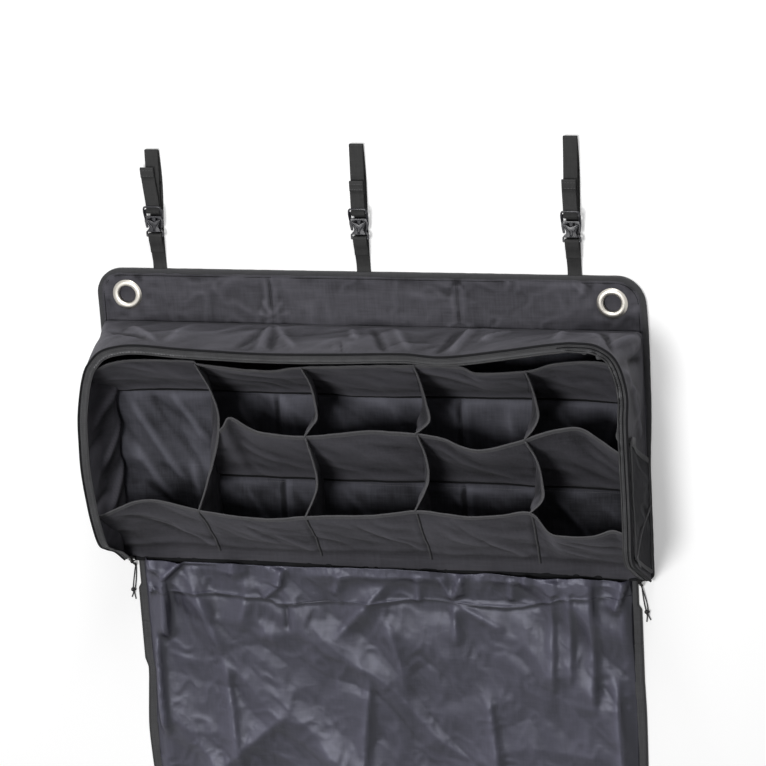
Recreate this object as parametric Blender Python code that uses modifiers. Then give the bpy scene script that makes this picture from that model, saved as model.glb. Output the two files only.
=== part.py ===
"""Hanging camping organizer, opened and lying on its back.

A stiffened back panel carries a box of cloth compartments. Three straps with side-release
buckles and two grommets hang it up. A zipped cover folds up over the box from the panel's
foot edge; here it lies open. Metres, +X right, +Y towards the straps, +Z out of the front.
The origin is the centre of the panel's rear face.
"""
import math

import bmesh
import bpy
from mathutils import Matrix, Vector

# Back panel: two cloths with three boards between them, bound all round
PANEL_WIDTH = 0.800
PANEL_HEIGHT = 0.450
PANEL_HEAD_RADIUS = 0.038
PANEL_FOOT_RADIUS = 0.004
PANEL_CLOTH = 0.0010
BOARD_THICKNESS = 0.0030
BINDING_WIDTH = 0.009
BOARD_MARGIN = 0.002
MIDDLE_BOARD_WIDTH = 0.278
BOARD_SEAM = 0.006
HEADER_HEIGHT = 0.080
FIT_GAP = 0.0003

# Grommets in the header's corners
GROMMET_FROM_SIDE = 0.045
GROMMET_FROM_HEAD = 0.0385
GROMMET_BORE = 0.025
GROMMET_FLANGE = 0.0424
GROMMET_METAL = 0.0009
GROMMET_CROWN = 0.0016
WASHER_SEAT_DEPTH = 0.0013
GROMMET_STEPS = 32

# Box walls
BOX_DEPTH = 0.1391
WALL_CLOTH = 0.0014
WALL_FROM_EDGE = 0.0040
HEAD_WALL_LEAN = 0.0040
RIM_CORNER_RADIUS = 0.040
BASE_CORNER_RADIUS = 0.008
RIM_FOOT_RADIUS = 0.022
BOX_FRONT_FOOT = 0.0767
CORNER_STEPS = 7

# Zip round the box's rim and its match on the cover
PIPING_RADIUS = 0.0018
TAPE_WIDTH = 0.0089
TAPE_THICKNESS = 0.0012
COIL_WIDTH = 0.0020
COIL_THICKNESS = 0.0020
ZIP_HALF_GAP = 0.0010
ZIP_START = 0.0080

# Cover: a foot gusset and a front, hinged at the panel's foot edge
COVER_CLOTH = 0.0012
COVER_TAPE = 0.0145
COVER_PIVOT_OUT = 0.0026
COVER_PIVOT_UP = 0.0020
COVER_FOLD_GAP = 0.0006
SLIDER_RELIEF = 0.0042
SLIDER_RELIEF_LENGTH = 0.040
RELIEF_RAMP = 0.006

# Shelves: where each leaves the back panel, from the foot edge, and its free front edge
SHELF_CLOTH = 0.0012
SHELF_SIDE_GAP = 0.0014
COLUMN_COUNT = 5
BOTTOM_BACK = 0.028
BOTTOM_LEAD = 0.095
BOTTOM_RECESS = 0.029
MIDDLE_BACK = 0.139
MIDDLE_LEAD = 0.106
MIDDLE_RECESS = 0.029
CEILING_BACK = 0.270
CEILING_SLOT = 0.025
CEILING_RECESS = 0.019
DIVIDER_CLOTH = 0.0012
DIVIDER_GAP = 0.0012
DIVIDER_BOW = 0.020
FULL_DIVIDER_BOW = 0.034
DIVIDER_SCOOP = 0.008
DIVIDER_ROWS = 6

# Net pocket on the right wall's outer face
POCKET_LENGTH = 0.168
POCKET_FOOT_MARGIN = 0.010
POCKET_BASE_MARGIN = 0.004
POCKET_FRONT_MARGIN = 0.006
POCKET_DEPTH = 0.0068
POCKET_BINDING = 0.008
NET_CORD = 0.0010
NET_STRAND = 0.0024
NET_COLUMNS = 12
NET_ROWS = 8

# Hanging straps
STRAP_X = (-0.303, 0.0, 0.303)
STRAP_LOOP_REACH = (0.178, 0.188, 0.201)
STRAP_TAIL_REACH = (0.153, 0.136, 0.141)
WEBBING_WIDTH = 0.020
WEBBING = 0.0015
STRAP_PIVOT_OUT = 0.0027
STRAP_LEAD = 0.0017
LOOP_INNER_GAP = 0.0047
BUCKLE_FROM_EDGE = 0.050

# Side-release buckle
BUCKLE_WIDTH = 0.028
BUCKLE_PLATE = 0.0032
BUCKLE_BAR = 0.0030
BUCKLE_SLOT = 0.0042
BUCKLE_SHELL = 0.0017
BUCKLE_SHELL_GAP = 0.0058
FEMALE_LENGTH = 0.028
MALE_TOP = 0.044
SLOT_WIDTH = 0.0216

# Zip sliders, pullers and their cords
SLIDER_WIDTH = 0.0092
SLIDER_LENGTH = 0.013
SLIDER_PLATE = 0.0011
SLIDER_SLOT = 0.0030
SLIDER_NECK = 0.0014
SLIDER_NECK_LENGTH = 0.004
SLIDER_PLACE = 0.015
CROWN_WIDTH = 0.0024
CROWN_WINDOW = 0.0024
CROWN_WALL = 0.0009
PULLER_BAR_RADIUS = 0.0007
PULLER_THICKNESS = 0.0014
PULLER_WIDTH = 0.0056
PULLER_LENGTH = 0.0155
PULLER_EYE_RADIUS = 0.0015
PULLER_END = 0.0025
PULLER_DROP_DEG = 55.0
CORD_RADIUS = 0.0009
CORD_TURN_RADIUS = 0.0022
CORD_KNOT = (0.0066, -0.0420)
KNOT_RADII = (0.0036, 0.0046, 0.0032)

# Colours, roughness and metallic value of each material
CANVAS = ("canvas", (0.060, 0.059, 0.066), 0.85, 0.0)
CANVAS_TRIM = ("canvas_trim", (0.045, 0.045, 0.043), 0.80, 0.0)
LINING = ("coated_lining", (0.090, 0.090, 0.112), 0.45, 0.0)
WEBBING_CLOTH = ("webbing", (0.042, 0.042, 0.040), 0.80, 0.0)
NET = ("net", (0.030, 0.030, 0.032), 0.80, 0.0)
PLASTIC = ("black_plastic", (0.030, 0.030, 0.036), 0.40, 0.0)
NICKEL = ("nickel", (0.600, 0.570, 0.510), 0.28, 1.0)
DARK_METAL = ("dark_metal", (0.080, 0.080, 0.080), 0.40, 1.0)
BOARD = ("board", (0.300, 0.290, 0.270), 0.70, 0.0)
CORD = ("cord", (0.035, 0.035, 0.035), 0.85, 0.0)

# Levels and lines that follow from the sizes above
PANEL_TOP = 2 * PANEL_CLOTH + BOARD_THICKNESS + 2 * FIT_GAP
HEAD_Y = PANEL_HEIGHT / 2
FOOT_Y = -PANEL_HEIGHT / 2
SEAM_Y = HEAD_Y - HEADER_HEIGHT
WALL_X = PANEL_WIDTH / 2 - WALL_FROM_EDGE - WALL_CLOTH / 2
BASE_Z = PANEL_TOP + FIT_GAP
SHELF_BASE_Z = BASE_Z + SHELF_CLOTH / 2
HEAD_WALL_BASE_Y = SEAM_Y + WALL_CLOTH / 2
HEAD_WALL_RIM_Y = HEAD_WALL_BASE_Y + HEAD_WALL_LEAN
TAPE_INSET = PIPING_RADIUS + FIT_GAP
COIL_INSET = TAPE_INSET + TAPE_WIDTH + FIT_GAP
ZIP_INSET = COIL_INSET + COIL_WIDTH + ZIP_HALF_GAP
COVER_INSET = ZIP_INSET + ZIP_HALF_GAP
WALL_EDGE_DROP = PIPING_RADIUS + FIT_GAP

# The cover's hinge and the plane that its gusset closes in
PIVOT = Vector((0.0, FOOT_Y - COVER_PIVOT_OUT, COVER_PIVOT_UP))
GUSSET_OFFSET = COVER_CLOTH / 2 - COVER_PIVOT_UP
FRONT_CORNER = Vector((0.0, FOOT_Y + BOX_FRONT_FOOT, BOX_DEPTH))
CORNER_REACH = FRONT_CORNER - PIVOT
GUSSET_LENGTH = math.sqrt(CORNER_REACH.length_squared - GUSSET_OFFSET ** 2)
FOLD_ANGLE = (math.pi - math.atan2(CORNER_REACH.z, CORNER_REACH.y)
              + math.atan2(-GUSSET_OFFSET, GUSSET_LENGTH))
SLANT = Vector((0.0, -math.cos(FOLD_ANGLE), math.sin(FOLD_ANGLE)))
INWARD = Vector((0.0, math.sin(FOLD_ANGLE), math.cos(FOLD_ANGLE)))
SLANT_START = PIVOT + INWARD * GUSSET_OFFSET
COVER_FOLD_Y = PIVOT.y - GUSSET_LENGTH
COVER_FRONT_LENGTH = HEAD_WALL_RIM_Y - COVER_INSET - FRONT_CORNER.y


def clear_scene():
    for obj in list(bpy.data.objects):
        bpy.data.objects.remove(obj, do_unlink=True)


def new_collection(name):
    collection = bpy.data.collections.new(name)
    bpy.context.scene.collection.children.link(collection)
    return collection


def material(finish):
    name, colour, roughness, metallic = finish
    found = bpy.data.materials.get(name)
    if found:
        return found
    made = bpy.data.materials.new(name)
    made.use_nodes = True
    shader = made.node_tree.nodes["Principled BSDF"]
    shader.inputs["Base Color"].default_value = (*colour, 1.0)
    shader.inputs["Roughness"].default_value = roughness
    shader.inputs["Metallic"].default_value = metallic
    made.diffuse_color = (*colour, 1.0)
    return made


def add_object(name, data, finish, frame=None):
    obj = bpy.data.objects.new(name, data)
    PARTS.objects.link(obj)
    obj.data.materials.append(material(finish))
    if frame is not None:
        obj.matrix_world = frame
    return obj


def as_mesh(curve_object):
    """Turn a curve object into a welded mesh object that takes modifiers."""
    bpy.context.view_layer.update()
    graph = bpy.context.evaluated_depsgraph_get()
    mesh = bpy.data.meshes.new_from_object(curve_object.evaluated_get(graph))
    name, frame = curve_object.name, curve_object.matrix_world.copy()
    bpy.data.objects.remove(curve_object, do_unlink=True)
    shape = bmesh.new()
    shape.from_mesh(mesh)
    bmesh.ops.remove_doubles(shape, verts=shape.verts, dist=1e-6)
    bmesh.ops.recalc_face_normals(shape, faces=shape.faces)
    shape.to_mesh(mesh)
    shape.free()
    obj = bpy.data.objects.new(name, mesh)
    PARTS.objects.link(obj)
    obj.matrix_world = frame
    return obj


def smooth(obj, angle=40.0):
    obj.data.shade_smooth()
    obj.data.set_sharp_from_angle(angle=math.radians(angle))
    return obj


def plate(name, outlines, thickness, finish, frame):
    """A flat sheet from closed outlines in its own XY plane, centred on that plane."""
    curve = bpy.data.curves.new(name, "CURVE")
    curve.dimensions = "2D"
    curve.fill_mode = "BOTH"
    curve.extrude = thickness / 2
    for outline in outlines:
        spline = curve.splines.new("POLY")
        spline.points.add(len(outline) - 1)
        for point, (x, y) in zip(spline.points, outline):
            point.co = (x, y, 0.0, 1.0)
        spline.use_cyclic_u = True
    return as_mesh(add_object(name, curve, finish, frame))


def at_height(z):
    return Matrix.Translation((0.0, 0.0, z))


def frame_of(origin, x_axis, y_axis, z_axis):
    turned = Matrix((x_axis, y_axis, z_axis)).transposed().to_4x4()
    return Matrix.Translation(origin) @ turned


def wall_frame(x):
    """A frame whose own X runs along +Y, own Y along +Z and own Z along +X."""
    return frame_of(Vector((x, 0.0, 0.0)), Vector((0, 1, 0)), Vector((0, 0, 1)), Vector((1, 0, 0)))


def rounded(corners, steps=CORNER_STEPS):
    """A closed outline through (x, y, radius) corners, its round corners as arcs."""
    outline = []
    for i, (x, y, radius) in enumerate(corners):
        here = Vector((x, y))
        before = Vector(corners[i - 1][:2]) - here
        after = Vector(corners[(i + 1) % len(corners)][:2]) - here
        if radius <= 0.0:
            outline.append((x, y))
            continue
        before.normalize()
        after.normalize()
        half = before.angle(after) / 2
        centre = here + (before + after).normalized() * (radius / math.sin(half))
        start = here + before * (radius / math.tan(half)) - centre
        end = here + after * (radius / math.tan(half)) - centre
        sweep = start.angle_signed(end)
        for k in range(steps + 1):
            turned = start.copy()
            turned.rotate(Matrix.Rotation(-sweep * k / steps, 2))
            outline.append(tuple(centre + turned))
    return outline


def circle(x, y, radius, steps=GROMMET_STEPS):
    turns = (2 * math.pi * k / steps for k in range(steps))
    return [(x + radius * math.cos(a), y + radius * math.sin(a)) for a in turns]


def cloth_grid(name, rows, thickness, finish):
    """A sheet of even thickness through a grid of points, given row by row."""
    shape = bmesh.new()
    grid = [[shape.verts.new(point) for point in row] for row in rows]
    for lower, upper in zip(grid, grid[1:]):
        for k in range(len(lower) - 1):
            shape.faces.new((lower[k], lower[k + 1], upper[k + 1], upper[k]))
    mesh = bpy.data.meshes.new(name)
    shape.to_mesh(mesh)
    shape.free()
    obj = add_object(name, mesh, finish)
    solid = obj.modifiers.new("Thickness", "SOLIDIFY")
    solid.thickness = thickness
    solid.offset = 0.0
    solid.use_even_offset = True
    return smooth(obj)


def webbing_strip(name, path, x):
    """Webbing that follows a path of (y, z) points, its width along X."""
    half = WEBBING_WIDTH / 2
    rows = [[(x + side * half, y, z) for side in (-1, 1)] for y, z in path]
    return cloth_grid(name, rows, WEBBING, WEBBING_CLOTH)


def tube(name, points, radius, finish):
    curve = bpy.data.curves.new(name, "CURVE")
    curve.dimensions = "3D"
    curve.bevel_depth = radius
    curve.bevel_resolution = 2
    curve.use_fill_caps = True
    spline = curve.splines.new("POLY")
    spline.points.add(len(points) - 1)
    for point, place in zip(spline.points, points):
        point.co = (*place, 1.0)
    return add_object(name, curve, finish)


def turned_ring(name, profile, x, y, finish):
    """A ring turned about Z from a closed (radius, z) profile."""
    shape = bmesh.new()
    loop = [shape.verts.new((radius, 0.0, z)) for radius, z in profile]
    for a, b in zip(loop, loop[1:] + loop[:1]):
        shape.edges.new((a, b))
    mesh = bpy.data.meshes.new(name)
    shape.to_mesh(mesh)
    shape.free()
    obj = add_object(name, mesh, finish, Matrix.Translation((x, y, 0.0)))
    screw = obj.modifiers.new("Turn", "SCREW")
    screw.steps = GROMMET_STEPS
    screw.render_steps = GROMMET_STEPS
    screw.use_merge_vertices = True
    screw.merge_threshold = 1e-6
    screw.use_smooth_shade = True
    return obj


def joint_empty(name, place, parent=None):
    """An empty on a joint's axis, for the pieces that move with it."""
    empty = bpy.data.objects.new(name, None)
    empty.empty_display_size = 0.01
    PARTS.objects.link(empty)
    empty.location = place
    if parent is not None:
        attach(parent, [empty.name])
    return empty


def attach(parent, names):
    """Make the named objects follow the parent, where they already are."""
    bpy.context.view_layer.update()
    for name in names:
        child = bpy.data.objects[name]
        child.parent = parent
        child.matrix_parent_inverse = parent.matrix_world.inverted()
    bpy.context.view_layer.update()


def join_solids(body, additions):
    """Fuse further solids into the body; they stay behind as hidden construction shapes."""
    for piece in additions:
        use_as_tool(body, piece, "UNION")
    return body


def cut_away(body, cutters):
    for piece in cutters:
        use_as_tool(body, piece, "DIFFERENCE")
    return body


def use_as_tool(body, piece, operation):
    PARTS.objects.unlink(piece)
    TOOLS.objects.link(piece)
    piece.hide_render = True
    piece.display_type = "WIRE"
    step = body.modifiers.new(piece.name, "BOOLEAN")
    step.operation = operation
    step.solver = "EXACT"
    step.object = piece


def smooth_route(points, step):
    """Points at an even step along a smooth curve through the route's own points."""
    knots = [Vector(p) for p in points]
    knots = [2 * knots[0] - knots[1]] + knots + [2 * knots[-1] - knots[-2]]
    fine = []
    for a, b, c, d in zip(knots, knots[1:], knots[2:], knots[3:]):
        count = max(1, round((c - b).length / step))
        for k in range(count):
            t = k / count
            fine.append(0.5 * (2 * b + (c - a) * t + (2 * a - 5 * b + 4 * c - d) * t ** 2
                               + (3 * b - a - 3 * c + d) * t ** 3))
    return fine + [knots[-2]]


# Back panel

def panel_outline(inset):
    half_width = PANEL_WIDTH / 2 - inset
    head, foot = HEAD_Y - inset, FOOT_Y + inset
    head_radius = PANEL_HEAD_RADIUS - inset
    foot_radius = PANEL_FOOT_RADIUS - inset
    return rounded([(half_width, head, head_radius), (-half_width, head, head_radius),
                    (-half_width, foot, foot_radius), (half_width, foot, foot_radius)])


def facing_outline(low, high):
    """The part of the panel's face between two heights, inside the binding."""
    inset = BINDING_WIDTH + FIT_GAP
    half_width = PANEL_WIDTH / 2 - inset
    radius = PANEL_HEAD_RADIUS - inset if high > SEAM_Y else 0.0
    high = min(high, HEAD_Y - inset)
    return rounded([(half_width, high, radius), (-half_width, high, radius),
                    (-half_width, low, 0.0), (half_width, low, 0.0)])


def grommet_places():
    x = PANEL_WIDTH / 2 - GROMMET_FROM_SIDE
    y = HEAD_Y - GROMMET_FROM_HEAD
    return {"left": (-x, y), "right": (x, y)}


def board_outline(x_low, x_high):
    """One stiffener board; a head corner that lies near the panel's corner is rounded."""
    inset = BINDING_WIDTH + BOARD_MARGIN
    edge = PANEL_WIDTH / 2 - inset
    head, foot = HEAD_Y - inset, FOOT_Y + inset
    round_left = PANEL_HEAD_RADIUS - inset if x_low <= -edge else 0.0
    round_right = PANEL_HEAD_RADIUS - inset if x_high >= edge else 0.0
    return rounded([(x_high, head, round_right), (x_low, head, round_left),
                    (x_low, foot, 0.0), (x_high, foot, 0.0)])


def build_panel():
    places = grommet_places()
    barrel = GROMMET_BORE / 2 + GROMMET_METAL
    barrel_holes = {side: circle(x, y, barrel + FIT_GAP) for side, (x, y) in places.items()}

    plate("back_panel", [panel_outline(BINDING_WIDTH + FIT_GAP)],
          PANEL_CLOTH, CANVAS, at_height(PANEL_CLOTH / 2))
    plate("panel_binding", [panel_outline(0.0), panel_outline(BINDING_WIDTH)],
          PANEL_TOP, CANVAS_TRIM, at_height(PANEL_TOP / 2))

    edge = PANEL_WIDTH / 2 - BINDING_WIDTH - BOARD_MARGIN
    middle = MIDDLE_BOARD_WIDTH / 2
    boards = {"left": (-edge, -middle - BOARD_SEAM), "middle": (-middle, middle),
              "right": (middle + BOARD_SEAM, edge)}
    board_z = PANEL_CLOTH + FIT_GAP + BOARD_THICKNESS / 2
    for side, (x_low, x_high) in boards.items():
        holes = [barrel_holes[side]] if side in barrel_holes else []
        board = plate("stiffener_" + side, [board_outline(x_low, x_high)] + holes,
                      BOARD_THICKNESS, BOARD, at_height(board_z))
        if side in places:
            seat = circle(*places[side], GROMMET_FLANGE / 2 + FIT_GAP)
            cut_away(board, [plate("washer_seat_" + side, [seat], 2 * WASHER_SEAT_DEPTH,
                                   BOARD, at_height(board_z - BOARD_THICKNESS / 2))])

    facing_z = PANEL_TOP - PANEL_CLOTH / 2
    header = facing_outline(SEAM_Y + FIT_GAP, HEAD_Y)
    plate("header_facing", [header] + list(barrel_holes.values()),
          PANEL_CLOTH, CANVAS, at_height(facing_z))
    inner = facing_outline(FOOT_Y + BINDING_WIDTH + FIT_GAP, SEAM_Y - FIT_GAP)
    plate("compartment_facing", [inner], PANEL_CLOTH, CANVAS, at_height(facing_z))


def build_grommets():
    """An eyelet through the header's facing and board, and a washer let into the board's back.

    The panel's rear cloth runs on behind them, so it shows dark through each bore.
    """
    bore = GROMMET_BORE / 2
    barrel = bore + GROMMET_METAL
    flange = GROMMET_FLANGE / 2
    seat = PANEL_TOP + FIT_GAP
    brow = seat + GROMMET_METAL
    crown = seat + GROMMET_CROWN
    back = PANEL_CLOTH + FIT_GAP
    eyelet = [(bore + 0.65 * (flange - bore), crown), (flange, brow - GROMMET_METAL / 2),
              (flange, seat), (barrel, seat), (barrel, back), (bore, back),
              (bore, brow), (bore + 0.25 * (flange - bore), crown)]
    washer = [(flange, back + GROMMET_METAL), (flange, back),
              (barrel + FIT_GAP, back), (barrel + FIT_GAP, back + GROMMET_METAL)]
    for side, (x, y) in grommet_places().items():
        turned_ring("grommet_eyelet_" + side, eyelet, x, y, NICKEL)
        turned_ring("grommet_washer_" + side, washer, x, y, NICKEL)


# Box walls and rim

def rim_route(inset, drop=0.0, start=ZIP_START):
    """Half of the rim, from the left foot corner to the head's middle.

    The route runs up the slanted foot edge, along the front edge and round the head corner.
    inset is measured inwards along the cover's closing planes, drop square to them.
    """
    x = -(WALL_X - inset)
    front_z = BOX_DEPTH - drop
    turn = math.pi - FOLD_ANGLE
    # where the dropped slanted line meets the dropped front plane
    corner = FRONT_CORNER + Vector((0.0, drop * math.tan(turn / 2), -drop))
    radius = RIM_FOOT_RADIUS - drop
    reach = radius * math.tan(turn / 2)
    centre = corner + Vector((0.0, reach, -radius))
    foot = SLANT_START + SLANT * start + INWARD * drop
    points = [(x, foot.y, foot.z)]
    for k in range(CORNER_STEPS + 1):
        angle = math.pi / 2 + turn * (1 - k / CORNER_STEPS)
        points.append((x, centre.y + radius * math.cos(angle), centre.z + radius * math.sin(angle)))
    rim_y = HEAD_WALL_RIM_Y
    bend = (-(WALL_X - RIM_CORNER_RADIUS), rim_y - RIM_CORNER_RADIUS)
    reach = RIM_CORNER_RADIUS - inset
    for k in range(CORNER_STEPS + 1):
        angle = math.pi - math.pi / 2 * k / CORNER_STEPS
        points.append((bend[0] + reach * math.cos(angle), bend[1] + reach * math.sin(angle), front_z))
    return points


def mirrored(points):
    return points + [(-x, y, z) for x, y, z in reversed(points)]


def build_side_wall(side, sign):
    """A flat wall; its foot edge slants along the closed gusset."""
    radius = RIM_FOOT_RADIUS - WALL_EDGE_DROP
    foot = SLANT_START + INWARD * WALL_EDGE_DROP
    base = foot + SLANT * ((BASE_Z - foot.z) / SLANT.z)
    turn = math.pi - FOLD_ANGLE
    front_z = BOX_DEPTH - WALL_EDGE_DROP
    front_y = FRONT_CORNER.y + WALL_EDGE_DROP * math.tan(turn / 2)
    base_head = HEAD_WALL_BASE_Y - BASE_CORNER_RADIUS - FIT_GAP
    rim_head = HEAD_WALL_RIM_Y - RIM_CORNER_RADIUS - FIT_GAP
    outline = rounded([(base.y, BASE_Z, 0.0), (base_head, BASE_Z, 0.0),
                       (rim_head, front_z, 0.0), (front_y, front_z, radius)])
    plate("side_wall_" + side, [outline], WALL_CLOTH, CANVAS, wall_frame(sign * WALL_X))


def build_head_wall():
    """The wall at the header's seam, with a tight corner at its base and a round one at the rim."""
    rows = []
    front_z = BOX_DEPTH - WALL_EDGE_DROP
    levels = ((BASE_Z, HEAD_WALL_BASE_Y, BASE_CORNER_RADIUS),
              (front_z, HEAD_WALL_RIM_Y, RIM_CORNER_RADIUS))
    for z, head_y, radius in levels:
        bend_x, bend_y = -(WALL_X - radius), head_y - radius
        half = []
        for k in range(CORNER_STEPS + 1):
            angle = math.pi - math.pi / 2 * k / CORNER_STEPS
            half.append((bend_x + radius * math.cos(angle), bend_y + radius * math.sin(angle), z))
        rows.append(mirrored(half))
    cloth_grid("head_wall", rows, WALL_CLOTH, CANVAS)


def build_rim():
    route = mirrored(rim_route(0.0))
    tube("rim_piping", route, PIPING_RADIUS, CANVAS_TRIM)
    bands = (("rim_zip_tape", TAPE_INSET, TAPE_WIDTH, TAPE_THICKNESS, CANVAS_TRIM),
             ("rim_zip_coil", COIL_INSET, COIL_WIDTH, COIL_THICKNESS, PLASTIC))
    for name, inset, width, thickness, finish in bands:
        rows = [mirrored(rim_route(inset)), mirrored(rim_route(inset + width))]
        cloth_grid(name, rows, thickness, finish)


# Shelves and dividers

class Shelf:
    """A flat cloth shelf that leaves the back panel and rises towards the head."""

    def __init__(self, back_y, front_y, front_z):
        self.back_y = back_y
        self.front_y = front_y
        self.front_z = front_z
        self.slope = (front_y - back_y) / (front_z - BASE_Z)

    def y_at(self, z):
        return self.back_y + self.slope * (z - BASE_Z)

    def clearance(self):
        return (SHELF_CLOTH / 2 + DIVIDER_GAP) * math.sqrt(1 + self.slope ** 2)


def shelves():
    bottom_y, middle_y = FOOT_Y + BOTTOM_BACK, FOOT_Y + MIDDLE_BACK
    return {
        "bottom": Shelf(bottom_y, bottom_y + BOTTOM_LEAD, BOX_DEPTH - BOTTOM_RECESS),
        "middle": Shelf(middle_y, middle_y + MIDDLE_LEAD, BOX_DEPTH - MIDDLE_RECESS),
        "ceiling": Shelf(FOOT_Y + CEILING_BACK, HEAD_WALL_BASE_Y - CEILING_SLOT,
                         BOX_DEPTH - CEILING_RECESS),
    }


def divider_lines():
    inner = WALL_X - WALL_CLOTH / 2
    column = 2 * inner / COLUMN_COUNT
    return [-inner + column * k for k in range(1, COLUMN_COUNT)]


def divider_span(low, high, z):
    return low.y_at(z) + low.clearance(), high.y_at(z) - high.clearance()


def divider_x(x, bow, low, high, y, z):
    """A divider's cloth bows sideways, most at mid height and at its free front edge."""
    start, end = divider_span(low, high, z)
    rise = min(max((y - start) / (end - start), 0.0), 1.0)
    depth = z / min(low.front_z, high.front_z)
    return x + bow * math.sin(math.pi * rise) * depth ** 1.5


def build_divider(name, x, bow, low, high):
    rows = []
    for i in range(DIVIDER_ROWS + 1):
        row = []
        for k in range(DIVIDER_ROWS + 1):
            rise = k / DIVIDER_ROWS
            front = low.front_z + (high.front_z - low.front_z) * rise
            front -= DIVIDER_SCOOP * math.sin(math.pi * rise)
            z = SHELF_BASE_Z + (front - SHELF_BASE_Z) * i / DIVIDER_ROWS
            start, end = divider_span(low, high, z)
            y = start + (end - start) * rise
            row.append((divider_x(x, bow, low, high, y, z), y, z))
        rows.append(row)
    cloth_grid(name, rows, DIVIDER_CLOTH, CANVAS)


def build_shelf(name, shelf, left, right):
    """left and right give the shelf's ends, as X at each (y, z) along its slope."""
    rows = []
    for k in range(DIVIDER_ROWS + 1):
        z = SHELF_BASE_Z + (shelf.front_z - SHELF_BASE_Z) * k / DIVIDER_ROWS
        y = shelf.y_at(z)
        rows.append([(left(y, z), y, z), (right(y, z), y, z)])
    cloth_grid(name, rows, SHELF_CLOTH, CANVAS)


def build_compartments():
    tiers = shelves()
    bottom, middle, ceiling = tiers["bottom"], tiers["middle"], tiers["ceiling"]
    side = WALL_X - WALL_CLOTH / 2 - SHELF_SIDE_GAP
    lines = divider_lines()

    def left_wall(y, z):
        return -side

    def right_wall(y, z):
        return side

    def full_divider(y, z):
        bowed = divider_x(lines[0], FULL_DIVIDER_BOW, bottom, ceiling, y, z)
        return bowed + DIVIDER_CLOTH / 2 + DIVIDER_GAP

    build_shelf("bottom_shelf", bottom, left_wall, right_wall)
    build_shelf("middle_shelf", middle, full_divider, right_wall)
    build_shelf("ceiling_shelf", ceiling, left_wall, right_wall)
    build_divider("divider_full_height", lines[0], FULL_DIVIDER_BOW, bottom, ceiling)
    for number, x in enumerate(lines[1:], start=2):
        build_divider(f"divider_upper_{number}", x, DIVIDER_BOW, middle, ceiling)
        build_divider(f"divider_lower_{number}", x, DIVIDER_BOW, bottom, middle)


# Net pocket

def pocket_point(along, up):
    """A point of the pocket's slanted area: along from its foot edge, up from its base edge."""
    foot = SLANT_START + INWARD * (WALL_EDGE_DROP + POCKET_FOOT_MARGIN)
    base_z = BASE_Z + POCKET_BASE_MARGIN
    y = foot.y + (base_z + up - foot.z) * SLANT.y / SLANT.z
    return y + along, base_z + up


def pocket_height():
    return BOX_DEPTH - WALL_EDGE_DROP - POCKET_FRONT_MARGIN - BASE_Z - POCKET_BASE_MARGIN


def build_pocket():
    """A net held off the wall by a binding on three sides, open towards the head."""
    height = pocket_height()
    rim = POCKET_BINDING
    outline = [pocket_point(POCKET_LENGTH, height), pocket_point(0.0, height),
               pocket_point(0.0, 0.0), pocket_point(POCKET_LENGTH, 0.0),
               pocket_point(POCKET_LENGTH, rim), pocket_point(rim, rim),
               pocket_point(rim, height - rim), pocket_point(POCKET_LENGTH, height - rim)]
    wall_face = WALL_X + WALL_CLOTH / 2
    plate("pocket_binding", [outline], POCKET_DEPTH, CANVAS_TRIM,
          wall_frame(wall_face + FIT_GAP + POCKET_DEPTH / 2))

    low, high = rim + FIT_GAP, height - rim - FIT_GAP
    start, end = rim + FIT_GAP, POCKET_LENGTH
    lines_along = strand_lines(start, end, NET_COLUMNS)
    lines_up = strand_lines(low, high, NET_ROWS)
    x = wall_face + FIT_GAP + POCKET_DEPTH - NET_CORD / 2
    net = bmesh.new()
    grid = [[net.verts.new((x, *pocket_point(a, u))) for a in lines_along] for u in lines_up]
    for i in range(len(lines_up) - 1):
        for k in range(len(lines_along) - 1):
            if i % 2 and k % 2:
                continue
            net.faces.new((grid[i][k], grid[i][k + 1], grid[i + 1][k + 1], grid[i + 1][k]))
    mesh = bpy.data.meshes.new("pocket_net")
    net.to_mesh(mesh)
    net.free()
    obj = add_object("pocket_net", mesh, NET)
    solid = obj.modifiers.new("Thickness", "SOLIDIFY")
    solid.thickness = NET_CORD
    solid.offset = 0.0


def strand_lines(start, end, gaps):
    """Both edges of every strand of the net, with the given number of gaps between strands."""
    pitch = (end - start - NET_STRAND) / gaps
    lines = []
    for k in range(gaps + 1):
        lines += [start + pitch * k, start + pitch * k + NET_STRAND]
    return lines


# Cover

def cover_half_outline(inset, low_y):
    """The cover front's outline as it lies open: square at the fold, round at its far end."""
    x = WALL_X - inset
    far = COVER_FOLD_Y - (HEAD_WALL_RIM_Y - inset - FRONT_CORNER.y)
    radius = RIM_CORNER_RADIUS - inset
    return rounded([(-x, low_y, 0.0), (-x, far, radius), (x, far, radius), (x, low_y, 0.0)])


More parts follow.
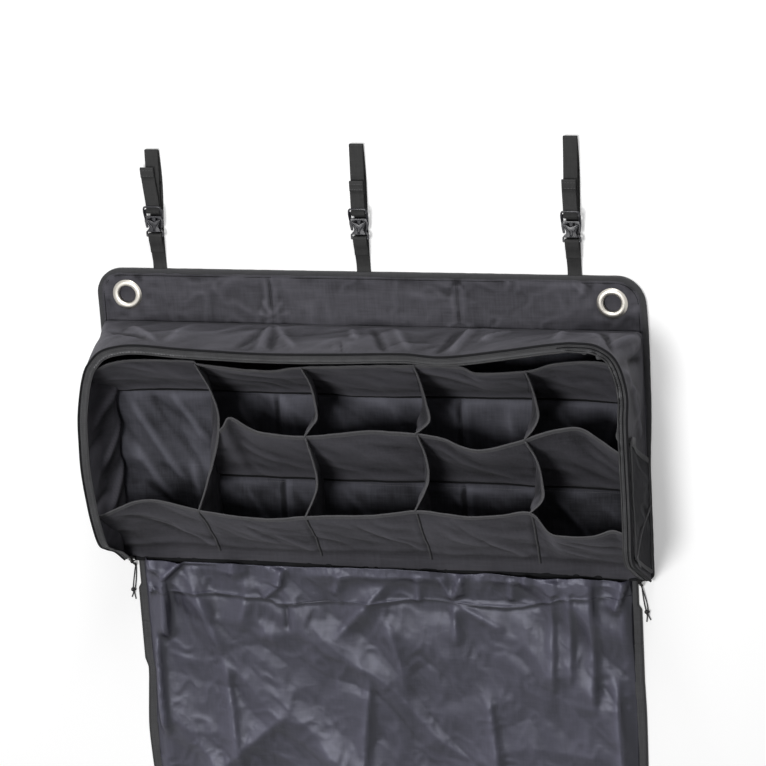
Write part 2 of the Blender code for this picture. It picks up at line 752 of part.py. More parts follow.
def build_cover():
    level = at_height(COVER_CLOTH / 2)
    cloth_inset = COVER_INSET + COVER_TAPE + FIT_GAP
    half = WALL_X - cloth_inset
    near = PIVOT.y - COVER_FOLD_GAP
    far = COVER_FOLD_Y + COVER_FOLD_GAP
    gusset = [(half, near), (-half, near), (-half, far), (half, far)]
    plate("cover_gusset", [gusset], COVER_CLOTH, LINING, level)

    front_low = COVER_FOLD_Y - COVER_FOLD_GAP
    plate("cover_front", [cover_half_outline(cloth_inset, front_low)], COVER_CLOTH, LINING, level)

    inner = cover_half_outline(cloth_inset - FIT_GAP, front_low)
    outer = cover_half_outline(COVER_INSET, front_low)
    plate("cover_front_zip", [outer + inner[::-1]], COVER_CLOTH, CANVAS_TRIM, level)

    edge = WALL_X - COVER_INSET
    relief_end = near - SLIDER_RELIEF_LENGTH
    for side, sign in (("left", -1), ("right", 1)):
        outline = [(edge - SLIDER_RELIEF, near), (edge - SLIDER_RELIEF, relief_end),
                   (edge, relief_end - RELIEF_RAMP), (edge, far),
                   (half + FIT_GAP, far), (half + FIT_GAP, near)]
        plate("gusset_zip_" + side, [[(sign * x, y) for x, y in outline]],
              COVER_CLOTH, CANVAS_TRIM, level)

    hinge = joint_empty("cover_hinge", PIVOT)
    attach(hinge, ["cover_gusset", "gusset_zip_left", "gusset_zip_right"])
    fold = joint_empty("cover_fold", (0.0, COVER_FOLD_Y, COVER_CLOTH / 2), hinge)
    attach(fold, ["cover_front", "cover_front_zip"])


# Zip sliders and pullers

def slider_frame(sign):
    """Own X across the zip, own Y along its travel, own Z out of the closed gusset."""
    centre = SLANT_START + SLANT * SLIDER_PLACE
    centre.x = sign * (WALL_X - ZIP_INSET)
    return frame_of(centre, Vector((-1, 0, 0)), SLANT, -INWARD)


def box_shape(name, size, centre, finish, frame):
    shape = bmesh.new()
    bmesh.ops.create_cube(shape, size=1.0)
    bmesh.ops.scale(shape, vec=size, verts=shape.verts)
    bmesh.ops.translate(shape, vec=centre, verts=shape.verts)
    mesh = bpy.data.meshes.new(name)
    shape.to_mesh(mesh)
    shape.free()
    return add_object(name, mesh, finish, frame)


def crown_height():
    """Height of the puller's bar above the slider's middle plane."""
    return SLIDER_SLOT / 2 + SLIDER_PLATE + CROWN_WINDOW / 2 + FIT_GAP


def build_slider(side, sign):
    """Two plates with the zip's slot between them, joined by a neck, and a crown on top."""
    frame = slider_frame(sign)
    wide, slim = SLIDER_WIDTH / 2, SLIDER_WIDTH * 0.38
    head, foot = SLIDER_LENGTH / 2, -SLIDER_LENGTH / 2
    outline = rounded([(wide, head, 0.002), (-wide, head, 0.002),
                       (-slim, foot, 0.0015), (slim, foot, 0.0015)], steps=3)
    level = SLIDER_SLOT / 2 + SLIDER_PLATE / 2
    body = plate("slider_" + side, [outline], SLIDER_PLATE, DARK_METAL, frame @ at_height(level))
    rear = plate("slider_rear_" + side, [outline], SLIDER_PLATE, DARK_METAL,
                 frame @ at_height(-level))
    neck_y = head - SLIDER_NECK_LENGTH / 2 - SLIDER_PLATE
    neck = box_shape("slider_neck_" + side,
                     (SLIDER_NECK, SLIDER_NECK_LENGTH, SLIDER_SLOT + SLIDER_PLATE),
                     (0.0, neck_y, 0.0), DARK_METAL, frame)
    window = CROWN_WINDOW / 2
    post = window + CROWN_WALL
    rise = SLIDER_PLATE / 2 + SLIDER_SLOT / 2
    top = crown_height() + window + CROWN_WALL
    arch = box_shape("slider_crown_" + side, (CROWN_WIDTH, 2 * post, top - rise),
                     (0.0, 0.0, (top + rise) / 2), DARK_METAL, frame)
    eye = box_shape("slider_window_" + side, (2 * CROWN_WIDTH, 2 * window, 2 * window),
                    (0.0, 0.0, crown_height()), DARK_METAL, frame)
    join_solids(body, [rear, neck, arch])
    cut_away(body, [eye])


def puller_frame(sign):
    """Own X across the puller, own Y along it from its bar to its eye, own Z out of its face."""
    pivot = slider_frame(sign) @ Vector((0.0, 0.0, crown_height()))
    drop = math.radians(PULLER_DROP_DEG)
    along = Vector((0.0, -math.cos(drop), -math.sin(drop)))
    face = Vector((0.0, -math.sin(drop), math.cos(drop)))
    return frame_of(pivot, along.cross(face), along, face)


def build_puller(side, sign):
    """A tab with a cord eye, on a bar through the slider's crown."""
    frame = puller_frame(sign)
    half = PULLER_WIDTH / 2
    arm = CROWN_WIDTH / 2 + FIT_GAP
    reach = CROWN_WINDOW / 2 + CROWN_WALL + 2 * FIT_GAP
    tip = PULLER_LENGTH + PULLER_END
    outline = rounded([(half, -PULLER_THICKNESS / 2, 0.0), (half, tip, 0.0016),
                       (-half, tip, 0.0016), (-half, -PULLER_THICKNESS / 2, 0.0)], steps=4)
    opening = [(arm, PULLER_THICKNESS / 2), (arm, reach + PULLER_THICKNESS),
               (-arm, reach + PULLER_THICKNESS), (-arm, PULLER_THICKNESS / 2)]
    eye = circle(0.0, PULLER_LENGTH, PULLER_EYE_RADIUS, steps=12)
    plate("puller_" + side, [outline, opening, eye], PULLER_THICKNESS, DARK_METAL, frame)


def cord_route(sign):
    """One loop of cord: from the knot up to the puller's eye, through it and back."""
    frame = puller_frame(sign)
    turn = []
    for k in range(7):
        angle = math.pi * k / 6
        turn.append(frame @ Vector((0.0, PULLER_LENGTH + CORD_TURN_RADIUS * (1 - math.sin(angle)),
                                    -CORD_TURN_RADIUS * math.cos(angle))))
    knot = knot_place(sign)
    floor = CORD_RADIUS + FIT_GAP
    start = turn[0]
    end = turn[-1]

    def beside(spot, across, fall, z):
        """A point on the way to the knot, spread sideways so that the two runs lie apart."""
        way = spot.lerp(knot, fall)
        return Vector((way.x + sign * across, way.y, z))

    near_run = [beside(start, -0.0012, 0.80, floor + 0.0008), beside(start, -0.0014, 0.50, floor),
                beside(start, -0.0012, 0.22, floor)]
    far_run = [beside(end, 0.0010, 0.22, floor + 0.0018), beside(end, 0.0014, 0.50, floor),
               beside(end, 0.0012, 0.80, floor + 0.0008)]
    return near_run + turn + far_run


def knot_place(sign):
    eye = puller_frame(sign) @ Vector((0.0, PULLER_LENGTH, 0.0))
    return Vector((eye.x + sign * CORD_KNOT[0], eye.y + CORD_KNOT[1], KNOT_RADII[2] + FIT_GAP))


def build_cord(side, sign):
    tube("pull_cord_" + side, smooth_route(cord_route(sign), 2 * CORD_RADIUS), CORD_RADIUS, CORD)


def build_knot(side, sign):
    """The knot with the cord's two free tails, flat on the floor."""
    centre = knot_place(sign)
    shape = bmesh.new()
    bmesh.ops.create_uvsphere(shape, u_segments=12, v_segments=8, radius=1.0)
    bmesh.ops.scale(shape, vec=KNOT_RADII, verts=shape.verts)
    mesh = bpy.data.meshes.new("cord_knot_" + side)
    shape.to_mesh(mesh)
    shape.free()
    body = smooth(add_object("cord_knot_" + side, mesh, CORD, Matrix.Translation(centre)))
    floor = CORD_RADIUS + FIT_GAP
    tails = []
    for number, (across, reach) in enumerate(((0.0045, 0.0125), (-0.0015, 0.0155))):
        route = [(centre.x, centre.y, centre.z),
                 (centre.x + sign * across * 0.4, centre.y - reach * 0.5, floor + 0.0006),
                 (centre.x + sign * across, centre.y - reach, floor)]
        tail = tube(f"knot_tail_{side}_{number}", smooth_route(route, 2 * CORD_RADIUS),
                    CORD_RADIUS, CORD)
        tails.append(as_mesh(tail))
    join_solids(body, tails)
    attach(bpy.data.objects["puller_" + side], ["pull_cord_" + side, "cord_knot_" + side])
    attach(bpy.data.objects["slider_" + side], ["puller_" + side])


# Hanging straps and buckles

def buckle_height():
    """Height of the buckle's middle plane: the loop's inner gap lies over the back leg."""
    return WEBBING + LOOP_INNER_GAP + wrap_radius() + WEBBING / 2


def wrap_radius():
    """Webbing goes round a buckle bar with its middle at this distance from the bar's."""
    return math.hypot(BUCKLE_BAR, BUCKLE_PLATE) / 2 + FIT_GAP + WEBBING / 2


def arc_points(centre, radius, start_deg, end_deg, steps):
    points = []
    for k in range(steps + 1):
        angle = math.radians(start_deg + (end_deg - start_deg) * k / steps)
        points.append((centre[0] + radius * math.cos(angle), centre[1] + radius * math.sin(angle)))
    return points


def build_strap(number, x, loop_reach, tail_reach):
    level = buckle_height()
    wrap = wrap_radius()
    start = HEAD_Y + STRAP_PIVOT_OUT - STRAP_LEAD
    buckle = HEAD_Y + BUCKLE_FROM_EDGE
    lay = WEBBING + FIT_GAP

    # lower strap: from the panel's edge up to the female buckle's bar, round it and back
    bar = buckle + BUCKLE_BAR / 2
    low_z = level - wrap
    sewn = buckle - 0.022
    lower = [(start, WEBBING / 2 + lay), (start + 0.010, WEBBING / 2 + lay),
             (sewn, low_z - 0.0008), (bar - 0.004, low_z)]
    lower += arc_points((bar, level), wrap, -90, 90, 8)
    lower += [(bar - 0.008, level + wrap - 0.0012), (sewn + 0.007, low_z + lay + 0.0006),
              (sewn - 0.002, low_z - 0.0012 + lay + 0.0003)]
    webbing_strip(f"lower_strap_{number}", lower, x)

    # back leg of the hanging loop, flat behind the buckle
    loop_radius = (level - wrap - WEBBING / 2) / 2
    loop_y = HEAD_Y + loop_reach - loop_radius - WEBBING / 2
    webbing_strip(f"loop_back_leg_{number}", [(start, WEBBING / 2), (loop_y, WEBBING / 2)], x)

    # loop webbing: round the top, down to the male buckle's bar and up again as the tail
    male_bar = buckle + MALE_TOP - 2 * BUCKLE_BAR
    loop = arc_points((loop_y + FIT_GAP, WEBBING / 2 + loop_radius), loop_radius, -90, 90, 8)
    loop += arc_points((male_bar, level), wrap, 270, 90, 8)
    loop += [(HEAD_Y + tail_reach, level + wrap)]
    webbing_strip(f"loop_webbing_{number}", loop, x)
    build_buckle(number, x, buckle, level)

    hinge = joint_empty(f"strap_hinge_{number}", (x, HEAD_Y + STRAP_PIVOT_OUT, lay - FIT_GAP / 2))
    attach(hinge, [f"lower_strap_{number}", f"loop_back_leg_{number}", f"buckle_female_{number}"])
    release = joint_empty(f"buckle_release_{number}", (x, buckle, level), hinge)
    attach(release, [f"loop_webbing_{number}", f"buckle_male_{number}"])


def build_buckle(number, x, y, level):
    """Both halves lie flat; y is the female half's end at the lower strap."""
    frame = Matrix.Translation((x, y, level))
    half = BUCKLE_WIDTH / 2
    slot = SLOT_WIDTH / 2
    shoulder = BUCKLE_BAR + BUCKLE_SLOT

    # female half: bar and slot for the lower strap, then two waisted shells
    block_end = shoulder + 0.004
    base = rounded([(half - 0.0008, 0.0, 0.0015), (half - 0.0008, shoulder, 0.002),
                    (0.0095, block_end, 0.0), (-0.0095, block_end, 0.0),
                    (-half + 0.0008, shoulder, 0.002), (-half + 0.0008, 0.0, 0.0015)], steps=3)
    opening = [(slot, BUCKLE_BAR), (slot, shoulder), (-slot, shoulder), (-slot, BUCKLE_BAR)]
    female = plate(f"buckle_female_{number}", [base, opening], BUCKLE_PLATE, PLASTIC, frame)
    shell = rounded([(0.0100, shoulder + 0.0006, 0.001), (0.0065, shoulder + 0.0085, 0.004),
                     (0.0120, FEMALE_LENGTH, 0.0015), (0.0, FEMALE_LENGTH - 0.0055, 0.002),
                     (-0.0120, FEMALE_LENGTH, 0.0015), (-0.0065, shoulder + 0.0085, 0.004),
                     (-0.0100, shoulder + 0.0006, 0.001)], steps=3)
    shell_z = BUCKLE_SHELL_GAP / 2 + BUCKLE_SHELL / 2
    shells = []
    for face, z in (("front", shell_z), ("rear", -shell_z)):
        shells.append(plate(f"buckle_shell_{face}_{number}", [shell], BUCKLE_SHELL, PLASTIC,
                            frame @ at_height(z)))
    spine_size = (0.0120, 0.0032, BUCKLE_SHELL_GAP + BUCKLE_SHELL)
    spine_at = (0.0, shoulder + 0.0024, 0.0)
    spine = box_shape(f"buckle_spine_{number}", spine_size, spine_at, PLASTIC, frame)
    join_solids(female, [spine] + shells)

    # male half: a frame with two bars, two side prongs and a guide tongue
    top = MALE_TOP
    neck = top - 0.0135
    prong_tip = shoulder + 0.0058
    outline = rounded([(half, top, 0.003), (-half, top, 0.003), (-half, neck - 0.006, 0.006),
                       (-half + 0.0018, prong_tip, 0.0012), (-half + 0.0048, prong_tip, 0.001),
                       (-half + 0.0036, neck - 0.005, 0.002), (-0.0030, neck, 0.001),
                       (-0.0022, neck - 0.0070, 0.0015), (0.0022, neck - 0.0070, 0.0015),
                       (0.0030, neck, 0.001), (half - 0.0036, neck - 0.005, 0.002),
                       (half - 0.0048, prong_tip, 0.001), (half - 0.0018, prong_tip, 0.0012),
                       (half, neck - 0.006, 0.006)], steps=3)
    bar_low = top - 2 * BUCKLE_BAR - BUCKLE_BAR / 2
    inner_slot = [(slot, bar_low), (slot, bar_low - BUCKLE_SLOT + 0.0006),
                  (-slot, bar_low - BUCKLE_SLOT + 0.0006), (-slot, bar_low)]
    plate(f"buckle_male_{number}", [outline, inner_slot], BUCKLE_PLATE, PLASTIC, frame)


def build_straps():
    rows = zip(STRAP_X, STRAP_LOOP_REACH, STRAP_TAIL_REACH)
    for number, (x, loop_reach, tail_reach) in enumerate(rows, start=1):
        build_strap(number, x, loop_reach, tail_reach)


clear_scene()
PARTS = new_collection("camping_organizer")
TOOLS = new_collection("construction_shapes")
build_panel()
build_grommets()
build_head_wall()
for SIDE, SIGN in (("left", -1), ("right", 1)):
    build_side_wall(SIDE, SIGN)
    build_slider(SIDE, SIGN)
    build_puller(SIDE, SIGN)
    build_cord(SIDE, SIGN)
    build_knot(SIDE, SIGN)
build_rim()
build_compartments()
build_pocket()
build_cover()
build_straps()
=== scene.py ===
import math

import bmesh
import bpy
import numpy as np
from mathutils import Matrix, Vector


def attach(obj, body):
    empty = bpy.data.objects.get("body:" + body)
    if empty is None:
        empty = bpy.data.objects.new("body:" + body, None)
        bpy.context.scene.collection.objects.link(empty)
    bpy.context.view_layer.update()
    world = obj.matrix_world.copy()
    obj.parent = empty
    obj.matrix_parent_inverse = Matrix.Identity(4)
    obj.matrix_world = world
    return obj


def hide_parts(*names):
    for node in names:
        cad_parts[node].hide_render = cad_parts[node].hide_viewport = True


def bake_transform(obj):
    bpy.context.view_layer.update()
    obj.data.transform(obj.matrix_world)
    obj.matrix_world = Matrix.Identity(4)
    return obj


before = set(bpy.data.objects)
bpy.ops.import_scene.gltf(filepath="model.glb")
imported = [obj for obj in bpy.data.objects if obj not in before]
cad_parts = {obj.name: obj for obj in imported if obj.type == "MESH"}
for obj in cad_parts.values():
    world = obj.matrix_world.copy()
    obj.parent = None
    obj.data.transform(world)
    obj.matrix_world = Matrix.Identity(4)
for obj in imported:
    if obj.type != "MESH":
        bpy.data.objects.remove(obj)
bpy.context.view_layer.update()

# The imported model's main lines, in metres: panel, box, foot hinge, cover fold and slanted foot
PANEL_HALF = 0.400
HEAD_Y = 0.225
FOOT_Y = -0.225
PANEL_TOP = 0.0056
BASE_Z = 0.0059
RIM_Z = 0.1391
WALL_X = 0.3953
HEADER_SEAM_Y = 0.145
HEAD_RADIUS = 0.038
HINGE_Y = -0.2276
FOLD_Y = -0.385976
FRONT_CORNER_Y = -0.1483
SLANT = Vector((0.0, 0.50832, 0.861168))
INWARD = Vector((0.0, 0.861168, -0.50832))
SLANT_START = Vector((0.0, -0.228806, 0.002712))

# Zip: insets from the rim's outer line
TAPE_INSET, TAPE_WIDTH = 0.0021, 0.0089
COIL_INSET = 0.0123
COVER_COIL_INSET = 0.0163
COVER_TAPE_INSET, COVER_TAPE_WIDTH = 0.0173, 0.0125
COIL_WIDTH, COIL_THICK = 0.0024, 0.0012
TOOTH_PITCH = 0.0015
SLIDER_RELIEF = 0.0042

# Cloth thicknesses, the step of points along a path, and the way up
FACING_THICK = 0.0008
SHELF_THICK = 0.0011
WALL_THICK = 0.0013
TAPE_THICK = 0.0010
COVER_TAPE_THICK = 0.0009
HEM_THICK = 0.0026
STEP = 0.003
UP = (0.0, 0.0, 1.0)

# Sewing: rows of small pieces, with their spacing and size
STITCH = {"Spacing": 0.0034, "Along": 0.0027, "Across": 0.0006, "High": 0.0006}
TACK = {"Spacing": 0.0007, "Along": 0.0006, "Across": 0.0035, "High": 0.0007}
TOOTH = {"Spacing": TOOTH_PITCH, "Along": 0.00095, "Across": 0.0030, "High": 0.0019}
GROOVE_SHADOW = {"Spacing": 0.0032, "Along": 0.0036, "Across": 0.0013, "High": 0.0008}
BRIGHT_STITCH = {"Spacing": 0.0043, "Along": 0.0024, "Across": 0.0006, "High": 0.0006}


# Shape tools

class Relief:
    """Smooth, seeded unevenness between -1 and 1, about one bump for each unit."""

    def __init__(self, seed, size=64):
        self.table = np.random.default_rng(seed).uniform(-1.0, 1.0, (size, size))

    def __call__(self, u, v=0.0):
        u, v = np.broadcast_arrays(np.asarray(u, float), np.asarray(v, float))
        size = len(self.table)
        u0, v0 = np.floor(u).astype(int), np.floor(v).astype(int)
        fu, fv = u - u0, v - v0
        fu, fv = fu * fu * (3 - 2 * fu), fv * fv * (3 - 2 * fv)
        corner = [[self.table[(u0 + a) % size, (v0 + b) % size] for b in (0, 1)] for a in (0, 1)]
        low = corner[0][0] * (1 - fv) + corner[0][1] * fv
        high = corner[1][0] * (1 - fv) + corner[1][1] * fv
        return low * (1 - fu) + high * fu


def ease(value, start, end):
    """0 before start, 1 after end, and smooth between."""
    t = np.clip((np.asarray(value, float) - start) / (end - start), 0.0, 1.0)
    return t * t * (3 - 2 * t)


def crease(x, y, start, end, width, height):
    """A ridge (or, with a negative height, a valley) along a line, fading at its ends."""
    dx, dy = end[0] - start[0], end[1] - start[1]
    length = math.hypot(dx, dy)
    along = ((x - start[0]) * dx + (y - start[1]) * dy) / length ** 2
    across = ((x - start[0]) * dy - (y - start[1]) * dx) / length
    fade = ease(along, -0.05, 0.25) * ease(-along, -1.05, -0.75)
    return height * np.exp(0.15 - np.sqrt((across / width) ** 2 + 0.0225)) * fade


def creases(x, y, rows):
    """Creases from rows of start x, y, end x, y, width and height, in millimetres."""
    return sum(crease(x, y, row[:2], row[2:4], *row[4:]) for row in np.array(rows) / 1000.0)


def pleats(x, y, rows):
    """Folds laid over to the right of their lines, from rows such as those of creases."""
    total = 0.0
    for sx, sy, ex, ey, width, height in np.array(rows) / 1000.0:
        length = math.hypot(ex - sx, ey - sy)
        along = ((x - sx) * (ex - sx) + (y - sy) * (ey - sy)) / length ** 2
        across = ((x - sx) * (ey - sy) - (y - sy) * (ex - sx)) / length
        reach = np.where(across > 0.0, width * 0.22, width)
        fade = ease(along, -0.12, 0.15) * ease(-along, -1.12, -0.85)
        total = total + height * fade * np.exp(0.2 - np.sqrt((across / reach) ** 2 + 0.04))
    return total


def crumple(u, v, seed):
    """Wandering sharp ridges, 1 at their crests and about -1 between them."""
    drift, field = Relief(seed), Relief(seed + 1)
    moved_u = u + 0.7 * drift(u * 0.6, v * 0.6)
    moved_v = v + 0.7 * drift(u * 0.6 + 20.0, v * 0.6 + 11.0)
    return 1.0 - 3.0 * np.sqrt(field(moved_u, moved_v) ** 2 + 0.004)


def facets(u, v, seed):
    """Flat faces meeting in sharp creases: random heights at the corners of bent triangles."""
    drift, table = Relief(seed), Relief(seed + 1).table
    a = u + 0.45 * drift(u * 0.7, v * 0.7) + 0.5 * v
    b = v + 0.45 * drift(u * 0.7 + 31.0, v * 0.7 + 17.0)
    i, j = np.floor(a).astype(int), np.floor(b).astype(int)
    p, q = a - i, b - j
    size = len(table)
    c00, c10, c01, c11 = (table[(i + m) % size, (j + n) % size]
                          for m, n in ((0, 0), (1, 0), (0, 1), (1, 1)))
    near = c00 + p * (c10 - c00) + q * (c01 - c00)
    far = c11 + (1 - p) * (c01 - c11) + (1 - q) * (c10 - c11)
    return np.where(p + q < 1.0, near, far)


def evenly(points, step):
    """The same line with points at an even step."""
    points = np.asarray(points, float)
    reach = np.concatenate([[0.0], np.cumsum(np.linalg.norm(np.diff(points, axis=0), axis=1))])
    count = max(2, int(round(reach[-1] / step)) + 1)
    wanted = np.linspace(0.0, reach[-1], count)
    return np.stack([np.interp(wanted, reach, column) for column in points.T], axis=1)


def curve_through(points, step=STEP):
    """Evenly spaced points on a smooth curve through the given ones."""
    knots = np.asarray(points, float)
    knots = np.vstack([2 * knots[0] - knots[1], knots, 2 * knots[-1] - knots[-2]])
    t = np.linspace(0.0, 1.0, 16, endpoint=False)[:, None]
    runs = [0.5 * (2 * b + (c - a) * t + (2 * a - 5 * b + 4 * c - d) * t ** 2
                   + (3 * b - a - 3 * c + d) * t ** 3)
            for a, b, c, d in zip(knots, knots[1:], knots[2:], knots[3:])]
    return evenly(np.vstack(runs + [knots[-2:-1]]), step)


def height_along(points):
    """A smooth function y(x) in metres through (x, y) points in millimetres."""
    line = curve_through(np.array(points) / 1000.0, 0.002)
    return lambda x: np.interp(x, line[:, 0], line[:, 1])


def along_line(line, at):
    """Points at shares of a line's length, from 0 to 1, counted by its own points."""
    reach = np.linspace(0.0, 1.0, len(line))
    return np.stack([np.interp(at, reach, column) for column in line.T], axis=1)


def unit(vectors):
    return vectors / np.maximum(np.linalg.norm(vectors, axis=-1, keepdims=True), 1e-12)


def tangents(path, closed=False):
    if closed:
        return unit(np.roll(path, -1, axis=0) - np.roll(path, 1, axis=0))
    return unit(np.gradient(path, axis=0))


def rounded(corners, steps=8):
    """A closed outline through (x, y, radius) corners."""
    outline = []
    for i, (x, y, radius) in enumerate(corners):
        here = Vector((x, y))
        before = Vector(corners[i - 1][:2]) - here
        after = Vector(corners[(i + 1) % len(corners)][:2]) - here
        if radius <= 0.0:
            outline.append((x, y))
            continue
        before.normalize()
        after.normalize()
        half = before.angle(after) / 2
        centre = here + (before + after).normalized() * (radius / math.sin(half))
        start = here + before * (radius / math.tan(half)) - centre
        end = here + after * (radius / math.tan(half)) - centre
        sweep = start.angle_signed(end)
        for k in range(steps + 1):
            turned = start.copy()
            turned.rotate(Matrix.Rotation(-sweep * k / steps, 2))
            outline.append(tuple(centre + turned))
    return outline


def mirrored(corners, steps):
    """A rounded outline that is the same on both sides, from its right side's corners in mm."""
    right = np.array(corners) / 1000.0
    left = right[::-1][right[::-1, 0] > 0.0] * (-1, 1, 1)
    return rounded(np.vstack([right, left]).tolist(), steps)


def arc(centre, radius, start_deg, end_deg, steps):
    angles = np.radians(np.linspace(start_deg, end_deg, steps + 1))
    return [(centre[0] + radius * math.cos(a), centre[1] + radius * math.sin(a)) for a in angles]


def normals_of(points):
    """Unit normals of a grid of points."""
    across = np.gradient(points, axis=1)
    along = np.gradient(points, axis=0)
    return unit(np.cross(across, along))


def grid_mesh(name, points, ring=False, loop=False, keep=None, painted_shading=None):
    """Quads through rows of points, with their UV map in metres.

    ring closes every row, loop joins the last row to the first, and keep drops faces.
    The painted light and shade for each point is stored on the mesh, where the cloths' materials
    read it.
    """
    rows, cols = points.shape[:2]
    wide = np.concatenate([points, points[:, :1]], axis=1) if ring else points
    tall = np.concatenate([points, points[:1]], axis=0) if loop else points
    u = np.cumsum(np.linalg.norm(np.diff(wide, axis=1), axis=2), axis=1)
    v = np.cumsum(np.linalg.norm(np.diff(tall, axis=0), axis=2), axis=0)
    u = np.concatenate([np.zeros((rows, 1)), u], axis=1)
    v = np.concatenate([np.zeros((1, cols)), v], axis=0)
    u -= u[:, u.shape[1] // 2][:, None]
    i, j = np.meshgrid(np.arange(len(v) - 1), np.arange(u.shape[1] - 1), indexing="ij")
    if keep is not None:
        i, j = i[keep], j[keep]
    i, j = i.ravel(), j.ravel()
    corners = [(i, j), (i, j + 1), (i + 1, j + 1), (i + 1, j)]
    faces = np.stack([(a % rows) * cols + (b % cols) for a, b in corners], axis=1)
    spread = np.stack([np.stack([u[a % rows, b], v[a, b % cols]], axis=1)
                       for a, b in corners], axis=1)
    polygons = faces.tolist()
    loops = spread.reshape(-1, 2)
    if ring and not loop:
        polygons += [list(range(cols))[::-1], list(range((rows - 1) * cols, rows * cols))]
        loops = np.vstack([loops, np.zeros((2 * cols, 2))])
    mesh = bpy.data.meshes.new(name)
    mesh.from_pydata(points.reshape(-1, 3).tolist(), [], polygons)
    mesh.uv_layers.new(name="UVMap").data.foreach_set("uv", loops.ravel())
    if painted_shading is not None:
        stored = mesh.attributes.new("painted_shading", "FLOAT", "POINT")
        stored.data.foreach_set("value", np.asarray(painted_shading, np.float32).ravel())
    mesh.shade_smooth()
    return mesh


def skin(path, out, profile, closed=False):
    """A profile of (side, out) points carried along a path, as rows of points."""
    path = np.asarray(path, float)
    along = tangents(path, closed)
    out = np.broadcast_to(np.asarray(out, float), path.shape)
    out = unit(out - along * np.sum(along * out, axis=1, keepdims=True))
    side = np.cross(along, out)
    profile = np.asarray(profile, float)
    return (path[:, None] + side[:, None] * profile[None, :, :1]
            + out[:, None] * profile[None, :, 1:])


def band_profile(width, thickness, steps=4):
    """A flat band's cross-section with rounded edges."""
    half, radius = width / 2 - thickness / 2, thickness / 2
    right = arc((half, 0.0), radius, -90, 90, steps)
    left = arc((-half, 0.0), radius, 90, 270, steps)
    top = [(half * k, radius) for k in (0.5, 0.0, -0.5)]
    return right + top + left + [(-x, -z) for x, z in top]


def round_profile(radius, sides=10):
    return arc((0.0, 0.0), radius, 0, 360 - 360 / sides, sides - 1)


COIL_CORE = band_profile(COIL_WIDTH, COIL_THICK, 3)


def tube(line, out, radius, sides=8):
    """A round cord along a line, as a mesh for welded."""
    return grid_mesh("tube", skin(line, out, round_profile(radius, sides)), ring=True)


# Pieces

def new_object(name, mesh):
    obj = bpy.data.objects.new(name, mesh)
    bpy.context.scene.collection.objects.link(obj)
    return obj


def baked(obj):
    """The object's evaluated shape as a plain mesh, its modifiers removed."""
    bpy.context.view_layer.update()
    graph = bpy.context.evaluated_depsgraph_get()
    mesh = bpy.data.meshes.new_from_object(obj.evaluated_get(graph))
    obj.modifiers.clear()
    obj.data = mesh
    return obj


def dress(obj, finish, body, replaces=(), bend=None):
    """Give a finished mesh its material and hide the CAD nodes that it stands for; with bend,
    bake its place into its points instead of giving it its body.
    """
    material, slot = finish
    if not obj.data.materials:
        obj.data.materials.append(material)
    if replaces:
        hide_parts(*replaces)
    if bend:
        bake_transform(obj)
    else:
        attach(obj, body)
    return obj


OPEN_SIDE = np.array((0.26, 0.32, 0.91))
# faces that lean this way get painted light, and faces that lean away get painted shade
LIT_LEAN = np.array([-0.62, 0.78, 0.0])


def fold_shading(points, reach=3):
    """How far each point of a cloth stands off its neighbours, above 0 on ridges."""
    facing = np.cross(np.gradient(points, axis=1), np.gradient(points, axis=0))
    facing *= np.sign(facing @ OPEN_SIDE)[:, :, None]
    wide = np.pad(points, ((reach, reach), (reach, reach), (0, 0)), mode="reflect",
                  reflect_type="odd")
    rows, columns = points.shape[:2]
    beside = [wide[a:a + rows, b:b + columns] for a, b in
              ((0, reach), (2 * reach, reach), (reach, 0), (reach, 2 * reach))]
    return np.sum((points - sum(beside) / 4) * unit(facing), axis=2)


def cloth(name, points, thickness, finish, body, replaces=(), bend=None, folds=420.0,
          extra_painted_shading=0.0, slant=0.0, keep=None):
    """A cloth of even thickness through a grid of points, with painted light on its ridges and
    painted shade in its creases.

    Its own painted light and shade for each point is added to that. slant paints light on the
    faces that lean to the left and the head, and shade on the others. keep drops faces.
    """
    # painted light on ridges and painted shade in creases, more of each by which way each face
    # leans, and the piece's own painted light and shade
    painted_shading = np.clip(fold_shading(points) * folds, -0.5, 0.6)
    leaning = normals_of(points) @ LIT_LEAN
    painted_shading = painted_shading + slant * np.clip(leaning - leaning.mean(), -0.35, 0.35) + extra_painted_shading
    obj = new_object(name, grid_mesh(name, points, keep=keep, painted_shading=painted_shading))
    solid = obj.modifiers.new("Thickness", "SOLIDIFY")
    solid.thickness = thickness
    solid.offset = 0.0
    solid.use_even_offset = False
    return dress(baked(obj), finish, body, replaces, bend)


def rod(name, points, finish, body, replaces=(), bend=None, loop=False):
    """A closed skin from rows of rings."""
    mesh = grid_mesh(name, points, ring=True, loop=loop)
    outward(mesh)
    return dress(new_object(name, mesh), finish, body, replaces, bend)


def outward(mesh):
    shape = bmesh.new()
    shape.from_mesh(mesh)
    bmesh.ops.recalc_face_normals(shape, faces=shape.faces)
    shape.to_mesh(mesh)
    shape.free()


SHARP = math.radians(50)


